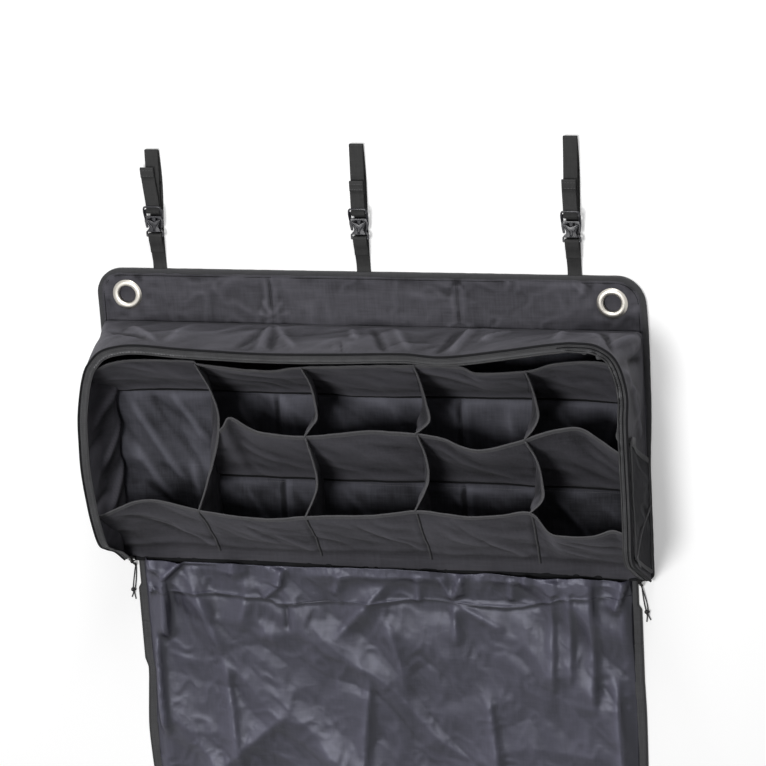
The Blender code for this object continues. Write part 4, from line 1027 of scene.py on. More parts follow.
def add_header():
    """The header's smooth cloth, pulled a little by its seams and its two grommets."""
    x, y = panel_grid(HEADER_SEAM_Y + 0.0002, HEAD_Y - 0.0055, 0.0055, 0.0024)
    broad = Relief(11)
    lift = 0.0009 * broad(x * 14, y * 22) + 0.0010 * crumple(x * 13, y * 17, 12)
    lift += 0.0005 * crumple(x * 42, y * 46, 14)
    for start, end in HEADER_SEAMS:
        lift += crease(x, y, start, end, 0.0016, -0.0018)
        for beside, high in ((-0.007, 0.0010), (0.007, 0.0011)):
            lift += crease(x, y, (start[0] + beside, start[1]), (end[0] + beside, end[1]),
                           0.005, high)
    lift += creases(x, y, [
        (-137.6, 157, -152.5, 183, 3.5, 2.2), (-137.6, 157, -122, 182.5, 4, 1.6),
        (-137.6, 156, -162, 163, 3, 1.6), (-137.6, 156, -110, 164.5, 3, 1.2),
        (-137.6, 154, -150, 147, 2.5, 1.4), (-137.6, 154, -125, 147, 2.5, 1.4),
        (134.5, 220, 119.5, 190, 4.5, -2.2), (134.5, 220, 145.5, 201, 4, -2),
        (135, 156, 155, 147, 3, 1.2), (135, 156, 115, 147, 3, 1.2), (296, 219, 318, 197, 5, 2),
        (308, 221, 327, 206, 4, -1.6), (-330, 208, -250, 214, 6, 0.8),
        (300, 209, 240, 213, 6, 0.7), (-300, 160, -270, 205, 10, -0.8),
        (40, 196, 120, 190, 6, 1), (-90, 160, -60, 205, 12, 0.8),
        (200, 158, 230, 200, 12, -0.9)])
    calm = np.ones_like(x)
    for gx, gy in GROMMETS:
        away = np.hypot(x - gx, y - gy)
        calm *= ease(away, 0.020, 0.034)
        lift = lift + 0.0007 * np.cos(7 * np.arctan2(y - gy, x - gx) + gx * 9) * np.exp(
            -((away - 0.030) / 0.008) ** 2)
    edge = np.minimum(HEAD_Y - y, PANEL_HALF - np.abs(x))
    lift = np.clip(lift * calm, -0.0016, 0.0030) * ease(edge, 0.006, 0.014) + 0.0004 * calm
    points = np.stack([drawn_out(x, y), y, PANEL_TOP - 0.0004 + lift], axis=2)
    mid_x, mid_y = (x[1:, 1:] + x[:-1, :-1]) / 2, (y[1:, 1:] + y[:-1, :-1]) / 2
    keep = np.ones(mid_x.shape, bool)
    for gx, gy in GROMMETS:
        keep &= np.hypot(mid_x - gx, mid_y - gy) > GROMMET_HOLE
    # raised parts of the cloth get painted light
    cloth("header_cloth", points, FACING_THICK, CANVAS, "panel", ["header_facing"], keep=keep,
          extra_painted_shading=lift * 70)
    rows = []
    for start, end in HEADER_SEAMS:
        for offset in (-0.0016, 0.0016):
            line = evenly([(*start, PANEL_TOP + 0.0002), (*end, PANEL_TOP + 0.0002)], 0.004)
            rows.append((line + (offset, 0.0, 0.0), UP))
    width = np.arange(-0.390, 0.390, 0.004)
    foot = np.column_stack([width, np.full_like(width, HEADER_SEAM_Y + 0.0030),
                            np.full_like(width, PANEL_TOP + 0.0007)])
    rows.append((foot, UP))
    seam_rows("header_stitches", rows, STITCH, DARK_THREAD, "panel", seed=2)


def add_rear_cloth():
    """The plain rear cloth, drawn over the boards' edges."""
    x, y = panel_grid(FOOT_Y + 0.0055, HEAD_Y - 0.0055, 0.0055, 0.0042)
    broad, fine = Relief(21), Relief(22)
    rise = 0.0003 * broad(x * 9, y * 11) + 0.00015 * fine(x * 45, y * 45)
    for seam in (-0.142, 0.142):
        rise += 0.0007 * near_line(x, seam, 0.003)
    points = np.stack([drawn_out(x, y), y, np.clip(0.0007 + rise, 0.00045, 0.0018)], axis=2)
    # painted shade where the cloth stands up, most of all along the board seams
    cloth("rear_cloth", points, FACING_THICK, CANVAS, "panel", ["back_panel"],
          extra_painted_shading=-rise * 80)


def add_inner_cloth():
    """The compartments' back cloth, slack between its seams."""
    x, y = panel_grid(FOOT_Y + 0.0075, HEADER_SEAM_Y + 0.0008, 0.0055, 0.0032)
    broad, fine = Relief(31), Relief(32)
    lift = 0.0020 * broad(x * 11, y * 9) + 0.0006 * fine(x * 38, y * 30) + 0.0022
    lift += 0.0040 * facets(x * 13, y * 12, 33) + 0.0016 * facets(x * 32, y * 28, 35)
    for seam in (-0.1385, 0.1315):
        beside = x - seam
        lift += 0.0030 * ease(beside, 0.0, 0.004) * np.exp(-np.maximum(beside, 0) / 0.03)
        lift -= 0.0026 * near_line(x, seam, 0.003)
    lift += creases(x, y, [
        (-366, 30, -282, -105, 10, 8.5), (-334, 40, -256, -85, 9, -5),
        (-300, 40, -246, -40, 8, 6), (-364, -37, -300, -140, 9, 6),
        (-350, -100, -270, -160, 9, -4), (-275, -60, -262, -160, 8, 4.5),
        (-205, 30, -160, -50, 7, 2.5), (-130, 36, -100, -60, 8, 2.2),
        (-60, 36, -20, -50, 8, 2.5), (30, 30, 60, -60, 8, 2.2), (110, 36, 150, -40, 7, 2.8),
        (200, 30, 215, -70, 8, 2.5), (270, 30, 330, -60, 9, 3.2), (360, 36, 330, -60, 8, 3),
        (-200, -100, -150, -180, 8, 2.6), (-50, -100, 20, -180, 8, 2.4),
        (110, -100, 170, -180, 8, 2.6), (260, -100, 330, -185, 9, 3)])
    beside = ease(x, -0.244, -0.232)
    for back, where in ((-0.197, 1.0), (-0.086, beside), (0.045, 1.0)):
        lift *= 1.0 - 0.85 * near_line(y, back, 0.009) * where
    lift *= 1.0 - ease(-y, 0.180, 0.194)
    lift = np.clip(lift, -0.0008, 0.0115)
    edge = np.minimum(HEADER_SEAM_Y - y, np.minimum(y - FOOT_Y, PANEL_HALF - np.abs(x)))
    lift *= ease(edge, 0.002, 0.020)
    # painted highlight on the shelves' seam allowances, painted shade under the middle shelf and
    # at the right
    allowance_highlight = 0.30 * near_line(y, 0.0380, 0.0045)
    allowance_highlight += 0.30 * near_line(y, -0.0935, 0.0045) * beside
    painted_shade = 0.50 * ease(-y, 0.086, 0.092) * beside + 0.50 * ease(-y, 0.055, 0.120) * (1 - beside)
    painted_shade = painted_shade + 0.20 * ease(x, 0.236, 0.250)
    points = np.stack([drawn_out(x, y), y, PANEL_TOP - 0.0004 + lift], axis=2)
    # raised folds get painted light, and slant paints light and shade by which way each face
    # leans
    cloth("inner_cloth", points, FACING_THICK, INNER_CANVAS, "panel", ["compartment_facing"],
          extra_painted_shading=lift * 22 - 0.02 + allowance_highlight - painted_shade, slant=1.9)
    rows = []
    for seam_y in (0.0375, -0.0935):
        for low, high in ((-0.23, -0.085), (-0.072, 0.072), (0.085, 0.23), (0.245, 0.385)):
            at = np.arange(low, high, 0.004)
            row = [at, np.full_like(at, seam_y), np.full_like(at, PANEL_TOP + 0.0014)]
            rows.append((np.stack(row, axis=1), UP))
    seam_rows("inner_cloth_stitches", rows, STITCH, LIGHT_THREAD, "panel", seed=7)


def panel_loop(inset):
    """The panel's outline at an inset, as a closed line."""
    half, head, foot = PANEL_HALF - inset, HEAD_Y - inset, FOOT_Y + inset
    tight = max(0.0055 - inset * 0.3, 0.002)
    corners = [(half, head, HEAD_RADIUS - inset), (-half, head, HEAD_RADIUS - inset),
               (-half, foot, tight), (half, foot, tight)]
    line = rounded(corners, 14)
    line = evenly(np.array(line + line[:1]), STEP)[:-1]
    return np.column_stack([drawn_out(line[:, 0], line[:, 1]), line[:, 1], np.zeros(len(line))])


def add_binding():
    """Folded tape round the panel's edge, sewn through on both faces, with a painted shadow line
    along its inner edge.
    """
    path = panel_loop(0.0045)
    # (outward, up) points, turned to the skin's own side below
    profile = ([(-0.0046, 0.0058), (-0.0040, 0.0062), (-0.0015, 0.0063), (0.0008, 0.0062)]
               + arc((0.0016, 0.0031), 0.0029, 78, -78, 8)
               + [(0.0008, 0.0001), (-0.0015, 0.0000), (-0.0040, 0.0001), (-0.0046, 0.0004)])
    profile = [(-side, out) for side, out in profile]
    rings = skin(path, UP, profile, closed=True)
    middle = path[:, None] + np.array((0.0, 0.0, 0.0031))
    pucker = Relief(41)
    reach = np.arange(len(path)) * STEP
    wave = pucker(reach / 0.011, 0.0)[:, None] * 0.028 + pucker(reach / 0.05, 5.0)[:, None] * 0.02
    rings = middle + (rings - middle) * (1.0 + wave[:, :, None])
    rings[:, :, 2] = np.maximum(rings[:, :, 2], 0.0)
    rod("edge_binding", rings, TRIM, "panel", ["panel_binding"], loop=True)
    stitched, groove = (np.vstack([line, line[:1]])
                        for line in (panel_loop(0.0074), panel_loop(0.0097)))
    seam_rows("edge_binding_stitches", [(stitched + (0, 0, 0.0063), UP),
                                        (stitched + (0, 0, 0.0001), (0, 0, -1))],
              STITCH, THREAD, "panel", seed=3)
    # near-black dashes paint the shadow in the groove along the binding's inner edge
    seam_rows("edge_binding_groove_shadow", [(groove + (0, 0, 0.0060), UP)], GROOVE_SHADOW, DARK_THREAD,
              "panel", seed=4)


def add_foot_tape():
    """The dark tape on the foot edge, under which the cover's hinge is sewn."""
    x = np.linspace(-0.3800, 0.3860, 260)
    start = -0.2170 - 0.0020 * ease(x, -0.18, 0.06)
    ripple = Relief(43)
    k = np.linspace(0.0, 1.0, 9)[:, None]
    start = start + 0.0018 * ripple(x / 0.016, 0.0) + 0.0010 * ripple(x / 0.006, 9.0)
    y = start[None] + (-0.2262 - start)[None] * k
    full = np.sin(math.pi * k)
    z = 0.0071 + 0.0008 * ripple(x / 0.008, 5.0)[None] * full + 0.0008 * full
    points = np.stack([np.broadcast_to(x, y.shape), y, np.broadcast_to(z, y.shape)], axis=2)
    cloth("foot_hinge_tape", points, TAPE_THICK, FOOT_TAPE, "panel")


def turned(name, profile, x, y, finish, body, replaces, steps=96):
    """A ring turned about Z from a closed (radius, z) profile."""
    angles = np.linspace(0.0, 2 * math.pi, steps, endpoint=False)
    profile = np.asarray(profile)
    points = np.stack([x + np.cos(angles)[:, None] * profile[None, :, 0],
                       y + np.sin(angles)[:, None] * profile[None, :, 0],
                       np.broadcast_to(profile[None, :, 1], (steps, len(profile)))], axis=2)
    return rod(name, points, finish, body, replaces, loop=True)


def add_grommets():
    """Nickel eyelets: a barrel, a rolled inner lip and a crowned flange."""
    low = 0.0013
    for side, (x, y) in zip(("left", "right"), GROMMETS):
        profile = [(0.0125, low), (0.0125, 0.0052), (0.01255, 0.0060), (0.0128, 0.0067),
                   (0.0133, 0.0073), (0.0141, 0.0077), (0.0152, 0.00795), (0.0166, 0.00805),
                   (0.0180, 0.0080), (0.0193, 0.0077), (0.0203, 0.0072), (0.0207, 0.0068),
                   (0.0212, 0.0066), (0.0218, 0.0063), (0.0221, 0.0057), (0.0218, 0.0054),
                   (0.0190, 0.0055), (0.0160, 0.0055), (0.0134, 0.0054), (0.0134, low)]
        turned("grommet_" + side, profile, x, y, NICKEL, "panel", ["grommet_eyelet_" + side])


# Box: rim, walls, shelves and dividers, with their outlines in millimetres

RIM_KNOTS = [
    (-395.3, -224.7, 9.6), (-395.6, -199.5, 43), (-395, -181.8, 77), (-393.5, -166.5, 105),
    (-391.5, -149, 122.5), (-391.5, -125, 133.5), (-394, -96, 137.5), (-398.5, -41, 138.5),
    (-398, 3, 138), (-395.5, 43, 138.5), (-388, 85, 139), (-379.5, 113, 139.5),
    (-369, 129, 140), (-354, 143, 140.5), (-332, 150.5, 140), (-298, 153.5, 139),
    (-227, 149, 138.5), (-121, 145, 138.5), (-22, 146.5, 139), (83, 149.5, 138.5),
    (144, 146.5, 138.5), (224, 157, 138), (293, 168, 138.5), (328, 171, 139), (360, 167, 139.5),
    (385.5, 145, 140), (397, 101, 139.5), (395.5, 60, 139), (395.5, 12, 138.5),
    (396.2, -45, 138.5), (396.5, -97, 139), (395.8, -132, 138.5), (395.5, -152, 128),
    (395.3, -168, 106), (395.3, -184.9, 77), (395.3, -205, 43), (395.3, -224.7, 9.6)]


def rim_lines():
    """The rim's outer line, its inward direction and the direction out of the closed cover."""
    path = curve_through(np.array(RIM_KNOTS) / 1000.0)
    flat = ease(path[:, 2], 0.112, 0.137)[:, None]
    slanted, level = np.array((0.0, -0.861168, 0.50832)), np.array(UP)
    out = unit(slanted * (1 - flat) + level * flat)
    along = tangents(path)
    out = unit(out - along * np.sum(along * out, axis=1, keepdims=True))
    return path, unit(np.cross(along, out)), out


RIM, RIM_IN, RIM_OUT = rim_lines()


def rim_offset(inset, lift=0.0):
    """The rim's line moved inwards and lifted."""
    return RIM + RIM_IN * inset + RIM_OUT * np.asarray(lift)[..., None]


def add_rim():
    """Piping, zip tape and coil round the rim; the tape is ruffled at the right head corner."""
    reach = np.arange(len(RIM)) * STEP
    ripple = Relief(51)
    corner = np.exp(-((RIM[:, 0] - 0.385) / 0.075) ** 4) * ease(RIM[:, 1], -0.14, 0.10)
    wave = 0.0016 * (0.35 + 1.3 * corner) * ripple(reach / 0.016, 0.0)
    wave = wave + 0.0008 * ripple(reach / 0.045, 3.0)
    # the piping is near black: its own dark colour, made darker still to paint the shade of the
    # groove along it
    piping = skin(rim_offset(0.0, wave * 0.3), RIM_OUT, round_profile(0.0018, 12))
    rod("rim_piping_cord", piping, FOOT_TAPE, "panel", ["rim_piping"])
    tucked = 0.0010
    width = TAPE_WIDTH + tucked + corner * (0.0030 + 0.0036 * ripple(reach / 0.009, 12.0))
    rows = []
    for k in np.linspace(0.0, 1.0, 9):
        gathered = 0.0028 * corner * ripple(reach / 0.007, 8.0) * k ** 2
        sag = 0.0003 + 0.0012 * math.sin(math.pi * k) + 0.0022 * corner * k ** 2
        inset = (TAPE_INSET - tucked + width * k)[:, None]
        rows.append(rim_offset(inset, wave * k - sag + gathered))
    points = np.stack(rows, axis=1)
    # raised parts of the tape get painted light
    cloth("rim_tape", points, TAPE_THICK, TAPE, "panel", ["rim_zip_tape"],
          extra_painted_shading=np.broadcast_to((wave * 60)[:, None], points.shape[:2]))
    coil = rim_offset(COIL_INSET, wave)
    rod("rim_coil_core", skin(coil, RIM_OUT, COIL_CORE), COIL, "panel", ["rim_zip_coil"])
    coil_rows("rim_coil_teeth", [(coil, RIM_OUT)], "panel")
    lines = [(rim_offset(inset, wave * (inset / 0.011) + level), RIM_OUT * face)
             for inset in (0.0042, 0.0088) for level, face in ((0.0003, 1), (-0.0022, -1))]
    seam_rows("rim_tape_stitches", lines, STITCH, LIGHT_THREAD, "panel", seed=5)
    # bright stitches paint glints along the tape at the left head corner, and a near-black line
    # paints the shade of the crease along the tape at the right
    lit = (RIM[:, 0] > -0.372) & (RIM[:, 0] < -0.225) & (RIM[:, 1] > 0.10)
    bright = [(rim_offset(inset, wave + 0.0007)[lit], RIM_OUT[lit]) for inset in (0.0093, 0.0104)]
    seam_rows("rim_tape_bright_stitches", bright, BRIGHT_STITCH, GLINT_THREAD, "panel",
              seed=6, unevenness=0.8)
    right = RIM[:, 0] > 0.30
    fold = rim_offset(0.0058, wave * 0.5 + 0.0002)[right]
    rod("rim_crease_shadow", skin(fold, RIM_OUT[right], round_profile(0.0008, 8)), FOOT_TAPE, "panel")


def base_line():
    """Where the walls meet the panel, from the left foot to the right foot."""
    radius, head = 0.008, 0.1377
    half = [(-WALL_X, -0.2225), (-WALL_X, head)]
    half += [(-(WALL_X - radius) - radius * math.cos(a), head + radius * math.sin(a))
             for a in np.linspace(0.2, math.pi / 2, 7)]
    line = half + [(-x, y) for x, y in reversed(half)]
    return evenly(np.column_stack([line, np.full(len(line), BASE_Z)]), STEP)


def corner_shares(line, foot_y, head_y, left_x, right_x):
    """How far along a line, from 0 to 1, its ends and its corners' starts and ends are."""
    x, y = line[:, 0], line[:, 1]
    right = x > 0
    passed = (y > foot_y, y > head_y, x > left_x, x > right_x,
              (y < head_y) & right, (y < foot_y) & right)
    return [0.0] + [float(np.argmax(spot)) / (len(line) - 1) for spot in passed] + [1.0]


BASE = base_line()
RIM_SHARES = corner_shares(RIM, -0.134, 0.085, -0.340, 0.335)
BASE_SHARES = corner_shares(BASE, -0.196, 0.110, -0.372, 0.372)


def side_bulge(side, y, z):
    """How far a side wall stands out from the straight line between its base and its rim."""
    rise = np.clip(z / RIM_Z, 0.0, 1.0)
    full = np.sin(math.pi * rise)
    if side < 0:
        folds = 0.0012 * Relief(61)(y * 22, z * 4) + 0.0046 * facets(y * 17, z * 9, 64)
        folds += 0.0014 * facets(y * 40, z * 24, 68)
        folds += creases(y, z, [(118, 12, 98, 130, 6, -7), (100, 75, 40, 4, 5, -6),
                                (60, 10, 85, 130, 6, 5), (62, 4, 7, 90, 7, -8),
                                (15, 4, -64, 70, 7, -7.5), (-46, 4, -140, 70, 8, -8),
                                (-10, 50, -30, 125, 8, 4.5), (-100, 50, -105, 125, 8, 4.5)])
        sag = 0.0120 * np.exp(-((z - 0.026) / 0.026) ** 2)
        sag *= ease(y, -0.215, -0.150) * ease(-y, -0.135, -0.080)
        return folds * (0.35 + 0.65 * full) - sag
    folds = 0.0008 * Relief(62)(y * 20, z * 4) + 0.0030 * facets(y * 15, z * 8, 66)
    folds += creases(y, z, [(150, 138, 100, 103, 6, 6), (105, 106, 35, 58, 6, 6),
                            (40, 60, 1, 25, 6, 5), (140, 100, 110, 16, 9, -9),
                            (117, 135, 59, 38, 3, 3)])
    return folds * (0.35 + 0.65 * full) - 0.0040 * full * ease(-y, -0.05, 0.0)


def wall_grid():
    """Straight walls between the base and the rim, and the directions out of them."""
    columns, rows = 470, 40
    at = np.linspace(0.0, 1.0, columns)
    rim = along_line(RIM - RIM_OUT * 0.0019, at)
    base = along_line(BASE, np.interp(at, RIM_SHARES, BASE_SHARES))
    rise = np.linspace(0.0, 1.0, rows)[:, None, None]
    points = base[None] + (rim - base)[None] * rise
    return points, -unit(along_line(RIM_IN * (1, 1, 0), at))


def add_walls():
    """One cloth runs up from the panel round three sides to the rim."""
    points, outside = wall_grid()
    x, y, z = points[:, :, 0], points[:, :, 1], points[:, :, 2]
    head = ease(np.abs(x), WALL_X - 0.030, WALL_X - 0.006) * ease(-y, -0.140, -0.120)
    rise = np.clip((z - BASE_Z) / (RIM_Z - BASE_Z), 0, 1)
    full = np.sin(math.pi * rise)
    folds = Relief(63)
    wall = 0.0022 * folds(x * 17, rise * 0.8) + 0.0058 * facets(x * 14, rise * 1.8, 67)
    wall += 0.0022 * facets(x * 34, rise * 4, 69)
    wall += creases(x, z, [(-375, 48, -290, 112, 6, -7), (-351, 30, -270, 128, 7, 5),
                           (-250, 10, -262, 130, 9, 3.5), (-137, 6, -126, 130, 6, 7),
                           (-137, 6, -105, 130, 4, -5), (-137, 6, -160, 130, 5, -4.5),
                           (-137, 6, -72, 125, 6, 4.5), (-12, 96, 0, 140, 1.2, -5),
                           (-17, 22, 6, 90, 5, 5), (13, 20, 60, 134, 6, -6.5),
                           (40, 12, 90, 120, 8, 4.5), (160, 12, 150, 136, 6, 9.5),
                           (138, 12, 130, 136, 5, -6), (216, 16, 184, 85, 6, 6),
                           (290, 8, 300, 130, 9, 5), (343, 30, 378, 126, 6, -8.5),
                           (398, 10, 368, 115, 3, 7)])
    wall = wall * (0.25 + 0.75 * full) + 0.001 * full
    left, right = side_bulge(-1, y, z), side_bulge(1, y, z)
    lift = wall * (1 - head) + np.where(x < 0, left, right) * head
    lift *= ease(rise, 0.0, 0.10) * (1 - 0.7 * ease(rise, 0.90, 1.0))
    points = points + outside[None] * lift[:, :, None]
    # raised folds get painted light; the left wall's inner side gets more painted light, and
    # slant paints light and shade there by which way its faces lean
    cloth("box_wall", points, WALL_THICK, CANVAS, "panel",
          ["side_wall_left", "side_wall_right", "head_wall"],
          extra_painted_shading=lift * 26 + 1.10 * ease(-x, 0.360, 0.385), slant=3.0 * ease(-x, 0.365, 0.385))
    seam_rows("box_wall_stitches", [(points[2] + outside * 0.0009, outside)], STITCH, THREAD,
              "panel", seed=9)


def wall_x(side, y, z):
    """The side wall's middle at a height above the panel."""
    line = RIM[(RIM[:, 0] * side > 0.30) & (RIM[:, 2] > 0.1)]
    line = line[np.argsort(line[:, 1])]
    rim = np.interp(y, line[:, 1], line[:, 0])
    rise = np.clip((z - BASE_Z) / (RIM_Z - BASE_Z), 0.0, 1.0)
    return side * WALL_X + (rim - side * WALL_X) * rise + side * side_bulge(side, y, z)


class ShelfCloth:
    """A shelf's cloth: it leaves the panel along back, and hangs free at its hem.

    skirt is how far its foot runs out over the panel, at the left and at the right.
    """

    def __init__(self, back, hem, front_z, belly, seed, lines=(), skirt=(0.0, 0.0)):
        self.back = height_along(back)
        self.hem = height_along(hem)
        self.front_z = front_z
        self.belly = belly
        self.folds = Relief(seed)
        self.seed = seed
        self.lines = lines
        self.skirt = skirt

    def bare_y(self, x, z):
        """The straight cloth's y at a height, before its belly and folds."""
        rise = self.rise(z)
        return self.back(x) + (self.hem(x) - self.back(x)) * rise

    def rise(self, z):
        return np.clip((z - PANEL_TOP) / (self.front_z - PANEL_TOP), 0.0, 1.0)

    def y_at(self, x, z):
        rise = self.rise(z)
        full = np.sin(math.pi * rise)
        slack = 0.0022 * self.folds(x * 16, rise * 1.6)
        slack = slack + 0.0062 * facets(x * 15, rise * 2.4, self.seed + 30)
        slack += 0.0020 * facets(x * 38, rise * 6, self.seed + 50)
        y = self.bare_y(x, z) - self.belly * full + slack * full ** 0.6
        y -= 0.0045 * np.exp(-((z - 0.017) / 0.010) ** 2)
        left, right = self.skirt
        foot = left + (right - left) * ease(x, -0.18, 0.06)
        return y + creases(x, z, self.lines) - foot * np.exp(-(z - PANEL_TOP) / 0.0035)

    def grid(self, left, right, columns):
        z = np.linspace(PANEL_TOP - 0.0003, self.front_z, 34)[:, None]
        along = np.linspace(0.0, 1.0, columns)[None, :]
        low, high = left(z), right(z)
        x = low + (high - low) * along
        z = np.broadcast_to(z, x.shape)
        return np.stack([x, self.y_at(x, z), z], axis=2)


CEILING = ShelfCloth(
    [(-400, 45), (-200, 47), (0, 45), (200, 46), (400, 45)],
    [(-405, 100), (-370, 111), (-345, 121), (-307, 126), (-225, 126), (-218, 122), (-135, 115),
     (-103, 115), (-63, 121), (98, 128), (159, 128), (187, 119), (255, 123), (287, 133),
     (329, 139), (364, 138), (384, 126), (410, 108)], 0.1201, 0.003, 71)
MIDDLE = ShelfCloth(
    [(-400, -86), (-200, -84), (0, -86), (200, -84), (400, -88)],
    [(-230, 12), (-194, 22), (-179, 40), (-152, 25), (-128, 18), (-72, 15), (-26, 20), (23, 26),
     (90, 24), (127, 19), (150, 9), (174, 3), (200, 6), (245, 20), (273, 31), (305, 39),
     (327, 39), (350, 24), (380, 3), (410, -6)],
    0.1101, 0.004, 72)
BOTTOM = ShelfCloth(
    [(-400, -197), (-200, -195), (0, -197), (200, -194), (400, -200)],
    [(-405, -122), (-382, -114), (-358, -103), (-330, -92), (-295, -90), (-239, -102),
     (-210, -106), (-163, -111), (-122, -111), (-79, -106), (-35, -103), (24, -100), (84, -91),
     (128, -94), (163, -97), (204, -94), (248, -88), (274, -117), (298, -121), (335, -120),
     (362, -110), (377, -113), (410, -122)], 0.1101, 0.004, 73,
    [(-236, 108, -246, 8, 3.5, 3), (-79, 108, -90, 8, 3.5, 3), (84, 108, 75, 8, 3.5, 3),
     (250, 108, 235, 8, 3.5, 3), (255, 75, 330, 25, 6, -6), (290, 90, 375, 50, 7, 5),
     (-370, 90, -290, 30, 7, 4.5), (-180, 95, -130, 30, 6, 3), (-20, 95, 30, 30, 7, 3),
     (130, 95, 190, 25, 7, 3.2), (-300, 60, -240, 12, 6, -4.5), (-140, 70, -95, 15, 5, -4),
     (20, 70, 70, 20, 5, -4), (170, 60, 225, 15, 6, -4.5)],
    skirt=(0.0205, 0.0225))

DIVIDER_FEET = (-0.23676, -0.07892, 0.07892, 0.23676)
# each divider's column, the shelves that it joins, and its free edge from its foot to its top
FREE_EDGES = {
    "full_height": (0, BOTTOM, CEILING, [
        (-237, -101), (-222, -64), (-207, -23), (-197, 15), (-196, 47), (-205, 82), (-223, 122)]),
    "upper_2": (1, MIDDLE, CEILING, [
        (-71, 16), (-58, 32), (-50, 47), (-55, 85), (-66, 118)]),
    "upper_3": (2, MIDDLE, CEILING, [
        (90, 24), (108, 38), (113, 49), (107, 79), (96, 126)]),
    "upper_4": (3, MIDDLE, CEILING, [
        (245, 20), (260, 38), (268, 58), (262, 87), (253, 122)]),
    "lower_2": (1, BOTTOM, MIDDLE, [
        (-78, -105), (-65, -80), (-57, -58), (-61, -28), (-71, 16)]),
    "lower_3": (2, BOTTOM, MIDDLE, [
        (83, -91), (99, -63), (107, -43), (104, -12), (92, 24)]),
    "lower_4": (3, BOTTOM, MIDDLE, [
        (248, -88), (267, -71), (271, -56), (263, -14), (245, 20)])}


def divider_x(key, y, z):
    """A divider bows sideways from its straight foot to its measured free edge."""
    column, _, _, edge = FREE_EDGES[key]
    low_y, high_y = edge[0][1] / 1000.0, edge[-1][1] / 1000.0
    free = height_along([(b, a) for a, b in edge])(np.clip(y, low_y, high_y))
    foot = DIVIDER_FEET[column]
    rise = np.clip((z - PANEL_TOP) / 0.106, 0.0, 1.05)
    return foot + (free - foot) * rise ** 1.35


def divider_grid(key, seed):
    """A divider's cloth, from its foot on the panel to its free edge."""
    column, low, high, _ = FREE_EDGES[key]
    folds = Relief(seed)
    share_up = np.linspace(0.0, 1.0, 30)[None, :]
    depth = np.linspace(0.0, 1.0, 30)[:, None]
    front = low.front_z + (high.front_z - low.front_z) * share_up
    front = front - 0.007 * np.sin(math.pi * share_up) + 0.001
    z = PANEL_TOP + (front - PANEL_TOP) * depth
    x = np.full(z.shape, DIVIDER_FEET[column])
    for _ in range(3):
        bottom, top = low.y_at(x, z), high.y_at(x, z)
        y = bottom + (top - bottom) * share_up
        x = divider_x(key, y, z)
    slack = 0.0024 * folds(share_up * 3, depth * 3)
    slack = slack + 0.0018 * crumple(share_up * 4, depth * 4, seed + 60)
    x = x + slack * np.sin(math.pi * depth) ** 0.5 * np.sin(math.pi * share_up) ** 0.5
    return np.stack([x, y, z], axis=2)


def hem_of(name, points, depth=0.0085):
    """The folded hem along a cloth's free edge, and the two lines of stitches on it."""
    edge = evenly(points[-1], STEP)
    inner = unit(along_line(points[-1] - points[-3], np.linspace(0, 1, len(edge))))
    face = unit(np.cross(tangents(edge), inner))
    pucker = Relief(len(name) + 80)(np.arange(len(edge)) * STEP / 0.014, 0.0)[:, None]
    centre = edge - inner * (depth / 2 - 0.0004) + face * pucker * 0.0004
    piece = rod(name, skin(centre, face, band_profile(depth, HEM_THICK)), HEM, "panel")
    sewn = centre - inner * (depth / 2 - 0.0016)
    return piece, [(sewn + face * HEM_THICK / 2 * s, face * s) for s in (1, -1)]


